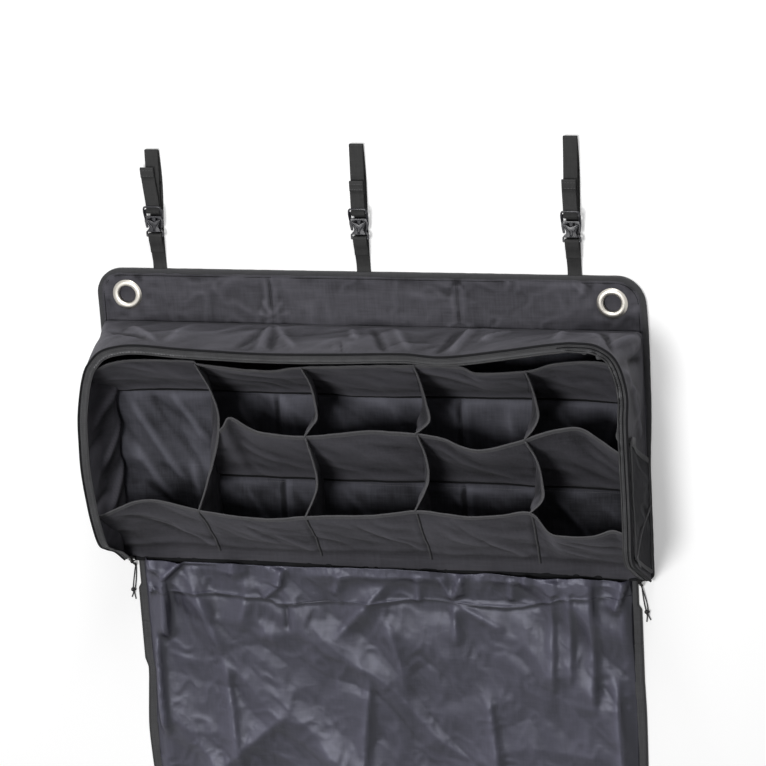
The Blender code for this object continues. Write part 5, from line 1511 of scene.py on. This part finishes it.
def add_shelves():
    """Three cloth shelves, their hems, seams, stitches and painted shadow lines."""
    def beside_tall_column(z):
        return divider_x("full_height", -0.086 + 0.108 * (z - PANEL_TOP) / 0.1045, z)

    def edge(side, shelf):
        return lambda z: wall_x(side, shelf.y_at(side * 0.39, z), z) - side * 0.0005

    # each shelf's ends and columns, and how much painted shade darkens it at a point
    stitches = []
    plans = (("ceiling", CEILING, edge(-1, CEILING), edge(1, CEILING), 250, lambda x, z: 0.04),
             ("middle", MIDDLE, beside_tall_column, edge(1, MIDDLE), 200,
              lambda x, z: 0.10 + 0.12 * ease(x, 0.07, 0.09) + 0.12 * ease(x, 0.24, 0.26)),
             ("bottom", BOTTOM, edge(-1, BOTTOM), edge(1, BOTTOM), 250,
              lambda x, z: 0.10 + 0.40 * ease(-x, 0.295, 0.375) * ease(-z, -0.085, -0.020)))
    for name, shelf, low, high, columns, shade in plans:
        points = shelf.grid(low, high, columns)
        x, y, z = points[:, :, 0], points[:, :, 1], points[:, :, 2]
        if shelf is BOTTOM:
            # its foot lies over the hinge tape
            z[:] = np.maximum(z, 0.0079 * ease(-y, 0.2010, 0.2060))
        # folds that stand out towards the foot get painted light, and the shelf's painted shade
        # is taken off
        painted_shading = (y - shelf.bare_y(x, z)) * -18 - shade(x, z)
        made = cloth(name + "_shelf_cloth", points, SHELF_THICK, CANVAS, "panel",
                     [name + "_shelf"], extra_painted_shading=painted_shading, slant=0.7)
        hem, rows = hem_of(name + "_shelf_hem", points)
        stitches += rows
    seam_rows("shelf_stitches", stitches, STITCH, LIGHT_THREAD, "panel", seed=11)
    # near-black tubes in the foot tape's finish paint the shadow beside each seam bead of the
    # bottom sheet
    beads, shadow_lines = [], []
    seam_top, seam_foot, out = 0.1085, 0.0085, (0.0, -0.72, 0.69)
    for top, foot in ((-0.2390, -0.2460), (-0.0790, -0.0905), (0.0835, 0.0745), (0.2500, 0.2350)):
        z = np.linspace(seam_top, seam_foot, 40)
        x = top + (foot - top) * (seam_top - z) / (seam_top - seam_foot)
        for beside, radius, made in ((0.0, 0.0012, beads), (0.0022, 0.0009, shadow_lines)):
            line = np.column_stack([x + beside, BOTTOM.y_at(x + beside, z) - 0.0008, z])
            made.append(tube(line, out, radius))
    # a near-black fold strip along the ceiling's and the middle shelf's back seams paints their
    # shadow lines
    for shelf, low, high in ((CEILING, -0.389, 0.389), (MIDDLE, -0.232, 0.389)):
        x = np.arange(low, high, 0.004)
        level = np.full_like(x, PANEL_TOP + 0.0034) + 0.0008 * Relief(79)(x / 0.03, 0.0)
        line = np.column_stack([x, shelf.y_at(x, level) - 0.0022, level])
        fold = skin(line, (0.0, -0.6, 0.8), band_profile(0.0040, 0.0016, 3))
        shadow_lines.append(grid_mesh("seam", fold, ring=True))
    welded("bottom_sheet_seams", beads, HEM, "panel")
    welded("shelf_seam_shadows", shadow_lines, FOOT_TAPE, "panel")


def add_dividers():
    """Seven upright cloths that bow to the right."""
    stitches, tacks = [], []
    for seed, key in enumerate(FREE_EDGES, start=91):
        points = divider_grid(key, seed)
        x = points[:, :, 0]
        # painted light towards the right of each divider, painted shade towards its left
        made = cloth("divider_cloth_" + key, points, SHELF_THICK, CANVAS, "panel",
                     ["divider_" + key], extra_painted_shading=(x - x.mean()) * 2)
        hem, rows = hem_of("divider_hem_" + key, points, depth=0.0075)
        stitches += rows
        for end in (1, -2):
            spot = points[-2, end]
            tack = np.array([spot + (0, 0, -0.006), spot + (0, 0, 0.0015)])
            tacks.append((tack, (0.4, 0.6, 0.7)))
    seam_rows("divider_stitches", stitches, STITCH, LIGHT_THREAD, "panel", seed=12)
    seam_rows("divider_bar_tacks", tacks, TACK, DARK_THREAD, "panel", seed=13)
    rows = []
    for key, (column, _, high, _) in FREE_EDGES.items():
        z = np.linspace(0.030, high.front_z - 0.003, 30)
        x = np.full_like(z, DIVIDER_FEET[column])
        for _ in range(3):
            x = divider_x(key, high.y_at(x, z), z)
        x = x - 0.0050
        rows.append((np.column_stack([x, high.y_at(x, z) - 0.0010, z]), (0.0, -0.75, 0.66)))
    z = np.linspace(0.012, 0.106, 30)
    y = MIDDLE.y_at(np.full_like(z, -0.21), z)
    line = np.column_stack([divider_x("full_height", y, z) - 0.0010, y, z])
    rows.append((line, (-0.85, 0.0, 0.5)))
    seam_rows("divider_seam_stitches", rows, STITCH, DARK_THREAD, "panel", seed=14)


# Net pocket on the right wall

POCKET_SAG = 0.0034


def pocket_spot(along, up):
    """A point of the pocket: along from its foot edge, up from its base edge, both 0 to 1."""
    y0, z0, y1, z1 = -0.2105, 0.0099, -0.1390, 0.1310
    return y0 + (y1 - y0) * up + 0.168 * along, z0 + (z1 - z0) * up


def pocket_grid(columns, rows):
    """The net's sheet: close to the wall at its edges, and gaping towards its mouth."""
    along = np.linspace(0.0, 1.0, columns)[None, :]
    up = np.linspace(0.0, 1.0, rows)[:, None]
    y, z = pocket_spot(along, up)
    y, z = np.broadcast_to(y, (rows, columns)), np.broadcast_to(z, (rows, columns))
    gape = np.sin(math.pi * np.clip(up, 0, 1)) * ease(along, 0.0, 0.45)
    folds = Relief(101)
    out = 0.0026 + POCKET_SAG * gape + 0.0016 * gape * crumple(along * 9, up * 1.5, 103)
    out = out + 0.0005 * folds(along * 30, up * 3)
    return np.stack([wall_x(1, y, z) + out, y, z], axis=2)


def add_pocket():
    """A net bellied off the wall, bound on three sides, its mouth edge bound as well."""
    sheet = new_object("pocket_net_cords", grid_mesh("net_sheet", pocket_grid(64, 46)))
    net = with_tree(sheet, NET_TREE, Cord_radius=0.00036, Finish=NET[0])
    dress(net, NET, "panel", ["pocket_net"])
    out = np.array((1.0, 0.0, 0.0))
    base, foot, rim = pocket_grid(60, 2)[0], pocket_grid(2, 40)[:, 0], pocket_grid(60, 2)[-1]
    bound = np.vstack([rim[::-1], foot[::-1][1:], base[1:]])
    path = curve_through(bound[::3]) + out * 0.0008
    mouth = evenly(pocket_grid(60, 40)[:, -1] + out * 0.0004, STEP)
    bands = [grid_mesh("binding", skin(path, out, band_profile(0.0060, 0.0024)), ring=True),
             grid_mesh("mouth", skin(mouth, out, band_profile(0.0085, HEM_THICK)), ring=True)]
    welded("pocket_edge", bands, TRIM, "panel", ["pocket_binding"])

    def on_wall(spots, stand_off, step=STEP):
        return curve_through([(wall_x(1, y, z) + stand_off, y, z) for y, z in spots], step)

    trim = ([(-0.108, 0.012), (-0.116, 0.040), (-0.121, 0.070), (-0.131, 0.105), (-0.140, 0.130)],
            [(-0.140, 0.130), (-0.149, 0.122), (-0.158, 0.110), (-0.170, 0.094)])
    piping = [tube(on_wall(line, 0.0062), out, 0.0013) for line in trim]
    welded("pocket_piping", piping, HEM, "panel")
    tab = on_wall(((0.030, 0.128), (0.026, 0.118), (0.021, 0.106), (0.016, 0.094)), 0.0050, 0.002)
    rod("pocket_tab", skin(tab, out, band_profile(0.0110, 0.0018)), HEM, "panel")
    lines = [(path + out * 0.0014, out), (mouth + out * 0.0014, out)]
    seam_rows("pocket_stitches", lines, STITCH, LIGHT_THREAD, "panel", seed=15)


# Cover

def cover_side(inset, count):
    """The cover's outline at an inset, from its left fold round the far edge to its right fold.

    It is the rim's own line, turned down about the fold, so that it closes on it.
    """
    front = RIM + RIM_IN * inset
    keep = RIM[:, 1] > FRONT_CORNER_Y + 0.012
    line = front[keep][:, :2]
    line[:, 1] = FOLD_Y - (line[:, 1] - FRONT_CORNER_Y)
    edge = WALL_X - inset
    line = np.vstack([[(-edge, FOLD_Y)], line, [(edge, FOLD_Y)]])
    length = np.sum(np.linalg.norm(np.diff(line, axis=0), axis=1))
    return evenly(line, length / (count - 1))


def patch(left, far, right, near):
    """Points of a four-sided cloth from its four edges (a Coons patch)."""
    rows, columns = len(left), len(far)
    u = np.linspace(0.0, 1.0, columns)[None, :, None]
    v = np.linspace(0.0, 1.0, rows)[:, None, None]
    sides = (1 - u) * left[:, None] + u * right[:, None]
    ends = (1 - v) * near[None] + v * far[None]
    corners = ((1 - u) * (1 - v) * near[0] + u * (1 - v) * near[-1]
               + (1 - u) * v * far[0] + u * v * far[-1])
    return sides + ends - corners


def cover_patch(inset, near_y, columns, rows):
    """The cover's cloth inside its zip tape, from near_y to the far edge."""
    line = cover_side(inset, 900)
    left_corner = int(np.argmin(line[:, 0] + line[:, 1]))
    right_corner = int(np.argmax(line[:, 0] - line[:, 1]))
    edge = WALL_X - inset

    def spread(points, wanted):
        return along_line(evenly(points, 0.001), np.linspace(0, 1, wanted))

    left = spread(np.vstack([[(-edge, near_y)], line[:left_corner + 1]]), rows)
    right = spread(np.vstack([[(edge, near_y)], line[right_corner:][::-1]]), rows)
    far = spread(line[left_corner:right_corner + 1], columns)
    near = np.column_stack([np.linspace(left[0, 0], right[0, 0], columns),
                            np.full(columns, near_y)])
    return patch(left, far, right, near)


LINING_PLEATS = [
    (-355.9, -276, -373.1, -222.3, 10, 13), (-338, -345, -334.9, -251, 14, 15),
    (-334.9, -251, -304.4, -222.6, 12, 12), (-155.7, -256, -150.6, -228.7, 10, 8),
    (-181.8, -276, -155.7, -255.8, 10, 6), (247.8, -400, 251.6, -230, 20, 6.2),
    (275, -380, 278.7, -230, 18, 6.4), (308.2, -420, 308.6, -229, 20, 9),
    (344.9, -272, 362.5, -223.5, 10, 12), (118, -262, 120, -226, 12, 5),
    (-350, -500, -356, -350, 14, 11), (-235, -560, -250, -390, 20, 7),
    (-50, -600, -30, -410, 22, 7), (170, -620, 150, -420, 22, 7.5),
    (350, -560, 342, -390, 16, 10)]
LINING_RIDGES = [
    (-302, -229, -255, -370, 12, 6), (11, -240, -85, -345, 14, 7),
    (118.3, -228, 103.4, -272.4, 5, 4.5), (85, -230, 103.4, -272.4, 5, 4),
    (103.4, -272, 106, -340, 6, 4.5), (103.4, -272, 180, -315, 6, 4),
    (-150, -284, -148, -330, 5, -4), (-205, -240, -220, -330, 14, 4),
    (-59.1, -226, -75, -270, 7, 4), (55.9, -226, 50, -280, 7, 4.5),
    (193.5, -226, 189, -270, 6, 4.5), (256.9, -226, 254, -250, 6, 4),
    (0, -300, 30, -420, 12, 5), (-320, -600, -150, -450, 20, 6), (0, -640, -120, -500, 20, 6),
    (100, -500, 300, -620, 20, 6)]
LINING_CREASE = height_along([
    (-390, -270), (-282, -272.6), (-181.8, -276), (-165, -283), (-151.6, -284.2), (-90, -279),
    (-1.8, -275.7), (54.2, -270), (103.4, -272.4), (150, -276), (202.5, -275.7), (250, -260),
    (284.4, -251.6), (390, -250)])


def hinge_peaks(x):
    """Where the lining stands up or sinks along the hinge."""
    return crumple(x * 20, 9.0, 119)


def lining_height(x, y):
    """The lining lies slack: gathered at the hinge, with laid-over folds and one cross crease."""
    broad = Relief(111)
    away = HINGE_Y - y
    lift = 0.0078 + 0.0080 * facets(x * 15 + y * 6, y * 10, 113)
    lift += 0.0028 * facets(x * 34 - y * 9, y * 26, 115)
    lift += 0.0005 * crumple(x * 70, y * 46, 117)
    lift += 1.2 * pleats(x, y, LINING_PLEATS) + 1.5 * creases(x, y, LINING_RIDGES)
    lift += 0.0060 * np.exp(-(((x + 0.178) / 0.030) ** 2 + ((y + 0.335) / 0.016) ** 2))
    roll = 0.0052 + 0.0030 * broad(x * 17, 3.0)
    peaks = np.clip(hinge_peaks(x), -0.8, 1.0)
    lift += (0.0066 + 0.0060 * peaks) * np.exp(-(np.maximum(away - roll, 0.0) / 0.0110) ** 1.5)
    ruffle = np.sin(x * 2 * math.pi / 0.0105 + 5.0 * broad(x * 13, 15.0))
    lift += 0.0006 * ruffle * np.exp(-np.abs(away) / 0.008)
    below = y - LINING_CREASE(x)
    pressed = 0.45 + 0.55 * broad(x * 11, 30.0)
    lift += 0.0034 * pressed * np.exp(-np.abs(below) / 0.0024)
    lift -= 0.0016 * np.exp(-np.abs(below + 0.006) / 0.004)
    return np.clip(lift, 0.0090 * ease(y, HINGE_Y - 0.006, HINGE_Y + 0.001), 0.024)


PART_Y = -0.300
LINING_INSET = COVER_TAPE_INSET + COVER_TAPE_WIDTH - 0.0015
LINING_BEND = ("panel", "gusset", (0.0, -0.2180, 0.002), (0.0, -0.2290, 0.002))
CANVAS_BEND = ("panel", "gusset", (0.0, -0.2270, 0.002), (0.0, -0.2440, 0.002))
COVER_BEND = ("gusset", "cover", (0.0, FOLD_Y + 0.010, 0.001), (0.0, FOLD_Y - 0.010, 0.001))


def add_cover():
    """The cover's outer canvas and its shiny lining, each in two cloths, and its zip."""
    edge, near_y = WALL_X - LINING_INSET, HINGE_Y + 0.0050
    x, y = np.meshgrid(np.linspace(-edge, edge, 230), np.linspace(near_y, PART_Y, 42))
    add_cover_cloths("gusset", x, y, near_y, CANVAS_BEND, LINING_BEND, "cover_gusset")
    flat = cover_patch(LINING_INSET, PART_Y, 230, 150)
    add_cover_cloths("cover", flat[:, :, 0], flat[:, :, 1], near_y, COVER_BEND, COVER_BEND,
                     "cover_front")
    add_cover_zip()
    add_gusset_zips()


def add_cover_cloths(body, x, y, near_y, outer_bend, lining_bend, node):
    """The flat outer cloth, and over it the lining, drawn to its own cross crease."""
    rise = 0.0004 * ease(Relief(121)(x * 8, y * 8), 0.0, 1.0)
    side = cover_edge_distance(x, y)
    level = 0.0004 + rise * ease(side, 0.0, 0.02)
    points = np.stack([x, np.minimum(y, HINGE_Y + 0.0012), level], axis=2)
    # raised parts of the outer cloth get painted light
    outer = cloth(body + "_outer_cloth", points, 0.0005, CANVAS, body, (), outer_bend,
                  extra_painted_shading=rise * 50)
    fade = np.where(y > PART_Y, (near_y - y) / (near_y - PART_Y), ease(y, -0.350, PART_Y))
    y = y + (LINING_CREASE(x) - PART_Y) * fade
    if body == "gusset":
        y = y + 0.0036 * np.clip(hinge_peaks(x), -0.6, 1.0) * (1 - fade)
    side = cover_edge_distance(x, y)
    flat = np.stack([x, y, np.zeros_like(x)], axis=2)
    face = math.copysign(1.0, float(normals_of(flat)[5, 5, 2]))
    height = lining_height(x, y) * ease(side, -0.002, 0.014)
    points = np.stack([x, y, 0.0012 + height], axis=2)
    # higher folds of the lining get painted light, and a band along the hinge gets a painted
    # highlight; slant paints light and shade by which way each face leans
    painted_shading = (height - 0.009) * 14 + 0.30 * np.exp(-((HINGE_Y - y) / 0.012) ** 2)
    lining = cloth(body + "_lining", points, 0.0006, LINING, body, [node], lining_bend,
                   folds=240.0, extra_painted_shading=painted_shading, slant=2.3 * face)


def cover_edge_distance(x, y):
    """Roughly how far a point lies inside the lining's own edge."""
    line = cover_side(LINING_INSET, 260)
    side = WALL_X - LINING_INSET - np.abs(x)
    far = np.full(x.shape, 9.0)
    low = y < FOLD_Y - 0.16
    if low.any():
        spots = np.stack([x[low], y[low]], axis=1)
        far[low] = np.min(np.linalg.norm(spots[:, None] - line[None], axis=2), axis=1)
    return np.where(low, far, np.maximum(side, 0.0))


ZIP_PART_Y = FOLD_Y + 0.060
ZIP_LEVEL = 0.0010
ZIP_INSETS = np.linspace(COVER_TAPE_INSET, COVER_TAPE_INSET + COVER_TAPE_WIDTH, 6)


def cover_zip_line(inset):
    """A line of the cover's zip at an inset, with straight ends down to the gusset's zips."""
    edge = WALL_X - inset
    path = np.vstack([[(-edge, ZIP_PART_Y)], cover_side(inset, 700), [(edge, ZIP_PART_Y)]])
    path = evenly(path, STEP)
    return np.column_stack([path, np.full(len(path), ZIP_LEVEL)])


def add_cover_zip():
    """Tape, coil and stitches round the cover."""
    shares = np.linspace(0, 1, len(cover_zip_line(COVER_TAPE_INSET)))
    points = np.stack([along_line(cover_zip_line(inset), shares) for inset in ZIP_INSETS], axis=1)
    ripple = Relief(131)(np.arange(len(shares)) * STEP / 0.02, 0.0)[:, None] * 0.0004
    across = np.linspace(0, 1, len(ZIP_INSETS))[None]
    points[:, :, 2] += ripple * across + 0.0003 * across
    cloth("cover_tape", points, COVER_TAPE_THICK, TAPE, "cover", ["cover_front_zip"], COVER_BEND)
    coil = cover_zip_line(COVER_COIL_INSET)
    rod("cover_coil_core", skin(coil, UP, COIL_CORE), COIL, "cover", (), COVER_BEND)
    coil_rows("cover_coil_teeth", [(coil, UP)], "cover", COVER_BEND)
    seams = [(along_line(cover_zip_line(COVER_TAPE_INSET + inset), shares) + (0, 0, 0.0008), UP)
             for inset in (0.004, 0.0105)]
    seam_rows("cover_tape_stitches", seams, STITCH, LIGHT_THREAD, "cover", COVER_BEND, seed=17)


def add_gusset_zips():
    """Tape and coil up the gusset's two sides, drawn in beside the sliders."""
    start_y = HINGE_Y + 0.0016
    y = np.linspace(start_y, ZIP_PART_Y, 60)
    relief = SLIDER_RELIEF * (1 - ease(-y, 0.038 - start_y, 0.048 - start_y))
    across = np.linspace(0, 1, len(ZIP_INSETS))

    def line(x):
        return np.column_stack([x, y, np.full(len(y), ZIP_LEVEL)])

    for side, sign in (("left", -1), ("right", 1)):
        strips = [line(sign * (WALL_X - inset - relief * (1 - share)))
                  for inset, share in zip(ZIP_INSETS, across)]
        points = np.stack(strips, axis=1)
        points[:, :, 2] += 0.0003 * across[None]
        cloth("gusset_tape_" + side, points, COVER_TAPE_THICK, TAPE, "gusset",
              ["gusset_zip_" + side])
        coil = line(sign * (WALL_X - COVER_COIL_INSET - relief))
        rod("gusset_coil_core_" + side, skin(coil, UP, COIL_CORE), COIL, "gusset")
        coil_rows("gusset_coil_teeth_" + side, [(coil, UP)], "gusset")


# Hanging straps and buckles

# each strap's x, how far its loop and its tail reach past the head edge, and how far they lean
STRAPS = ((-0.303, 0.178, 0.153, 0.0030, -0.0038), (0.0, 0.188, 0.136, 0.0010, 0.0),
          (0.303, 0.201, 0.141, 0.0020, -0.0008))
WEBBING_WIDTH = 0.020
WEBBING_THICK = 0.0015
BUCKLE_Y = 0.275
BUCKLE_LEVEL = 0.010193
WRAP_RADIUS = 0.003243


def webbing_skin(path, x, wobble=0.0, seed=1):
    """Webbing along a path of (y, z) points, with how far each lies to the right if it does."""
    line = curve_through([(*spot, 0.0)[:3] for spot in path], 0.0015)
    drift = Relief(seed)(line[:, 0] * 12, 0.0) * wobble
    points = np.column_stack([x + drift + line[:, 2], line[:, :2]])
    along = tangents(points)
    out = np.column_stack([np.zeros(len(line)), -along[:, 2], along[:, 1]])
    return points, unit(out), skin(points, out, band_profile(WEBBING_WIDTH, WEBBING_THICK))


def flat_rows(points, out, offsets, lift):
    """Stitch lines beside a webbing's middle."""
    side = np.cross(tangents(points), out)
    return [(points + side * offset + out * lift, out) for offset in offsets]


def add_strap(number, x, loop_reach, tail_reach, loop_lean, tail_lean):
    """A hanging strap: its sewn lower end, the long loop with its free tail, and the buckle."""
    strap, loop_body = f"strap_{number}", f"loop_{number}"
    hinge = ("panel", strap, (x, 0.2256, 0.002), (x, 0.2306, 0.002))
    level, wrap = BUCKLE_LEVEL, WRAP_RADIUS
    start = HEAD_Y - 0.0006
    lay = WEBBING_THICK + 0.0003
    bar = BUCKLE_Y + 0.0015
    low_z = level - wrap
    sewn = BUCKLE_Y - 0.022
    lower = [(start, 0.00255), (start + 0.012, 0.00255), (sewn, low_z - 0.0008),
             (bar - 0.004, low_z)]
    lower += arc((bar, level), wrap, -90, 90, 8)
    lower += [(bar - 0.008, level + wrap - 0.0012), (sewn + 0.007, low_z + lay + 0.0006),
              (sewn - 0.002, low_z - 0.0012 + lay + 0.0003)]
    points, out, rings = webbing_skin(lower, x, 0.0004, 140 + number)
    rod(f"lower_webbing_{number}", rings, WEBBING, strap, [f"lower_strap_{number}"], hinge)
    flap = (points[:, 1] < sewn + 0.0065) & (out[:, 2] < -0.5)
    rows = flat_rows(points[flap], out[flap], (-0.0075, -0.0025, 0.0025, 0.0075), 0.0009)
    seam_rows(f"lower_webbing_stitches_{number}", rows, STITCH, THREAD, strap, seed=20 + number)

    radius = (level - wrap - WEBBING_THICK / 2) / 2
    loop_y = HEAD_Y + loop_reach - radius - WEBBING_THICK / 2
    back = [(start, 0.00075), (BUCKLE_Y, 0.00075), (loop_y - 0.05, 0.00075, loop_lean + 0.0010),
            (loop_y, 0.00075, loop_lean)]
    rings = webbing_skin(back, x)[2]
    rod(f"back_webbing_{number}", rings, WEBBING, strap, [f"loop_back_leg_{number}"], hinge)

    # the loop's own webbing starts on the back leg, so that it still overlaps it when it slides
    male_bar = BUCKLE_Y + 0.038
    mid = WEBBING_THICK / 2 + radius
    slim = radius - 0.0008
    loop = [(loop_y - 0.045, 0.00235, loop_lean + 0.0008), (loop_y - 0.020, 0.00235, loop_lean)]
    loop += [(y, z, loop_lean) for y, z in arc((loop_y, mid + 0.0008), slim, -90, 90, 10)]
    loop += [(loop_y - 0.03, low_z + 0.0008, loop_lean * 0.8), (male_bar + 0.02, low_z)]
    loop += arc((male_bar, level), wrap, 270, 90, 10)
    tail_end = HEAD_Y + tail_reach
    high_z = level + wrap
    loop += [(male_bar + 0.012, high_z), (tail_end - 0.016, high_z - 0.0003, tail_lean * 0.85),
             (tail_end - 0.002, high_z, tail_lean)]
    rings = webbing_skin(loop, x, 0.0004, 160 + number)[2]
    rod(f"loop_webbing_front_{number}", rings, WEBBING, loop_body, [f"loop_webbing_{number}"])
    # the tail's end is folded back on itself and sewn
    fold = [(tail_end - 0.0145, high_z + 0.0016, tail_lean * 0.86)]
    fold += [(tail_end - back_off, high_z + above, tail_lean)
             for back_off, above in ((0.004, 0.0017), (0.0012, 0.0012), (0.0004, 0.0004))]
    rod(f"tail_hem_{number}", webbing_skin(fold, x + 0.0003)[2], WEBBING, loop_body)
    across = x + tail_lean + np.linspace(-0.0085, 0.0085, 8)
    rows = [(np.column_stack([across, np.full(8, tail_end - back_off),
                              np.full(8, high_z + 0.0024)]), UP)
            for back_off in (0.0125, 0.0045)]
    seam_rows(f"tail_stitches_{number}", rows, STITCH, LIGHT_THREAD, loop_body, seed=30 + number)
    add_buckle(number, x)


def add_buckle(number, x):
    """A side-release buckle: the socket with two waisted shells, and the pronged half.

    Its outlines are in millimetres.
    """
    place = Matrix.Translation((x, BUCKLE_Y, BUCKLE_LEVEL))

    def at(z):
        return place @ Matrix.Translation((0.0, 0.0, z))

    half, slot, shoulder = 14, 10.8, 7.2
    base = mirrored([(half - 0.8, 0, 1.5), (half - 0.8, shoulder, 2), (9.5, 11.2, 0.5)], 5)
    opening = mirrored([(slot, 3, 0.6), (slot, shoulder, 0.6)], 3)
    shell = mirrored([(10, 7.8, 1), (6.5, 15.7, 4), (12, 28, 1.5), (0, 22.5, 2)], 6)
    meshes = [moulding("base", [base, opening], 0.0032, 0.0007, place)]
    for z in (-0.00375, 0.00375):
        meshes.append(moulding("shell", [shell], 0.0017, 0.0006, at(z)))
    for rib in (-1, 1):
        arm = [(rib * across, y, z) for across, y, z in (
            (0.0088, 0.0252, 0.0047), (0.0062, 0.0205, 0.0050), (0.0024, 0.0160, 0.0052),
            (0.0012, 0.0120, 0.0052), (0.0011, 0.0092, 0.0048))]
        arm = np.array([place @ Vector(spot) for spot in curve_through(arm, 0.0008)])
        meshes.append(tube(arm, UP, 0.0009))
    meshes.append(block((0.0120, 0.0032, 0.0075), (0.0, 0.0096, 0.0), place))
    dress(joined(f"buckle_socket_{number}", meshes), PLASTIC, f"strap_{number}",
          [f"buckle_female_{number}"])

    top = 40.5
    neck, tip, bar_low = top - 12, shoulder + 5.8, top - 4
    outline = mirrored([(2.2, neck - 7, 1), (3, neck, 1), (half - 3.6, neck - 5, 2),
                        (half - 4.8, tip, 1), (half - 1.8, tip, 1.2), (half, neck - 6, 6),
                        (half, top, 3)], 5)
    inner = mirrored([(slot, bar_low, 0.4), (slot, bar_low - 5.8, 0.4)], 3)
    meshes = [moulding("frame", [outline, inner], 0.0032, 0.0008, place)]
    for sign in (-1, 1):
        for k in range(5):
            grip = (sign * (0.0136 - 0.00018 * k), 0.0250 - 0.0017 * k, 0.0)
            meshes.append(block((0.0006, 0.0007, 0.0026), grip, place, 0.0002))
    hoop = [(-0.0127, 0.0270, 0.0006), (-0.0129, 0.0320, 0.0024), (-0.0129, 0.0380, 0.0046),
            (-0.0122, 0.0432, 0.0056), (-0.0098, 0.0452, 0.0058), (0.0, 0.0456, 0.0060)]
    hoop += [(-across, y, z) for across, y, z in hoop[-2::-1]]
    hoop = np.array([place @ Vector(spot) for spot in curve_through(hoop, 0.0010)])
    meshes.append(tube(hoop, UP, 0.0014, 10))
    dress(joined(f"buckle_clip_{number}", meshes), PLASTIC, f"loop_{number}",
          [f"buckle_male_{number}"])


# Make everything, camera and cords first

add_camera()
add_studio()
WEAVE, RIBS, TONE = plain_weave_group(), ribbed_group(), tone_group()
SEAM_ROW, NET_TREE = seam_row_tree(), net_tree()
CORD = woven("braided_cord", "cord", (0.035, 0.035, 0.036), 0.0005, 0.0002, 0.85, sheen=0.1)
for SIDE, SIGN in (("left", -1), ("right", 1)):
    add_pull_cord(SIDE, SIGN)

CANVAS = woven("canvas", "canvas", (0.058, 0.0565, 0.0655))
INNER_CANVAS = woven("inner_canvas", "canvas", (0.062, 0.062, 0.0744))
FINE_RIBS = {"Pitch": 0.0007, "Column": 0.0012}
TRIM = woven("trim_tape", "canvas_trim", (0.04464, 0.04464, 0.04712), ribs=FINE_RIBS)
FOOT_TAPE = woven("foot_tape", "canvas_trim", (0.009, 0.009, 0.010), roughness=0.85,
                  specular=0.10, ribs=FINE_RIBS)
HEM = woven("hem_canvas", "canvas", (0.075, 0.07395, 0.07812))
TAPE = woven("zip_tape", "canvas_trim", (0.05828, 0.05828, 0.06076), sheen=0.06,
             ribs={"Pitch": 0.0006, "Column": 0.0010})
LINING = woven("coated_lining", "coated_lining", (0.034, 0.033, 0.046), 0.0003, 0.00004, 0.38,
               sheen=0.0, specular=0.5, wrinkled=0.0007, gloss=(0.86, 0.88, 1.0))
WEBBING = woven("webbing", "webbing", (0.031, 0.031, 0.031), depth=0.00030,
                ribs={"Pitch": 0.0013, "Column": 0.0025})
NET = woven("net_cord", "net", (0.058, 0.058, 0.063))
THREAD = woven("thread", "canvas_trim", (0.045, 0.045, 0.046), 0.0004)
LIGHT_THREAD = woven("light_thread", "canvas_trim", (0.120, 0.120, 0.122), 0.0004)
GLINT_THREAD = woven("glint_thread", "canvas_trim", (0.300, 0.300, 0.310), 0.0004)
DARK_THREAD = woven("dark_thread", "canvas_trim", (0.006, 0.006, 0.006), 0.0004)
COIL = moulded("zip_coil", "black_plastic", (0.006, 0.006, 0.007), 0.5)
PLASTIC = moulded("buckle_plastic", "black_plastic", (0.012, 0.012, 0.016), 0.30)
NICKEL = metal("nickel_plate", "nickel", (0.52, 0.495, 0.45), 0.36, 0.8)
DARK_METAL = metal("dark_plate", "dark_metal", (0.022, 0.021, 0.021), 0.55, 0.6)
BOARD = fibreboard("board", "board", (0.300, 0.290, 0.270))

for SIDE, SIGN in (("left", -1), ("right", 1)):
    add_slider(SIDE, SIGN)
add_header()
add_rear_cloth()
add_inner_cloth()
add_binding()
add_foot_tape()
add_grommets()
add_rim()
add_walls()
add_shelves()
add_dividers()
add_pocket()
add_cover()
for NUMBER, MEASURES in enumerate(STRAPS, start=1):
    add_strap(NUMBER, *MEASURES)
for node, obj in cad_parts.items():
    for start, finish in (("stiffener", BOARD), ("grommet_washer", NICKEL)):
        if node.startswith(start):
            for entry in obj.material_slots:
                entry.material = finish[0]
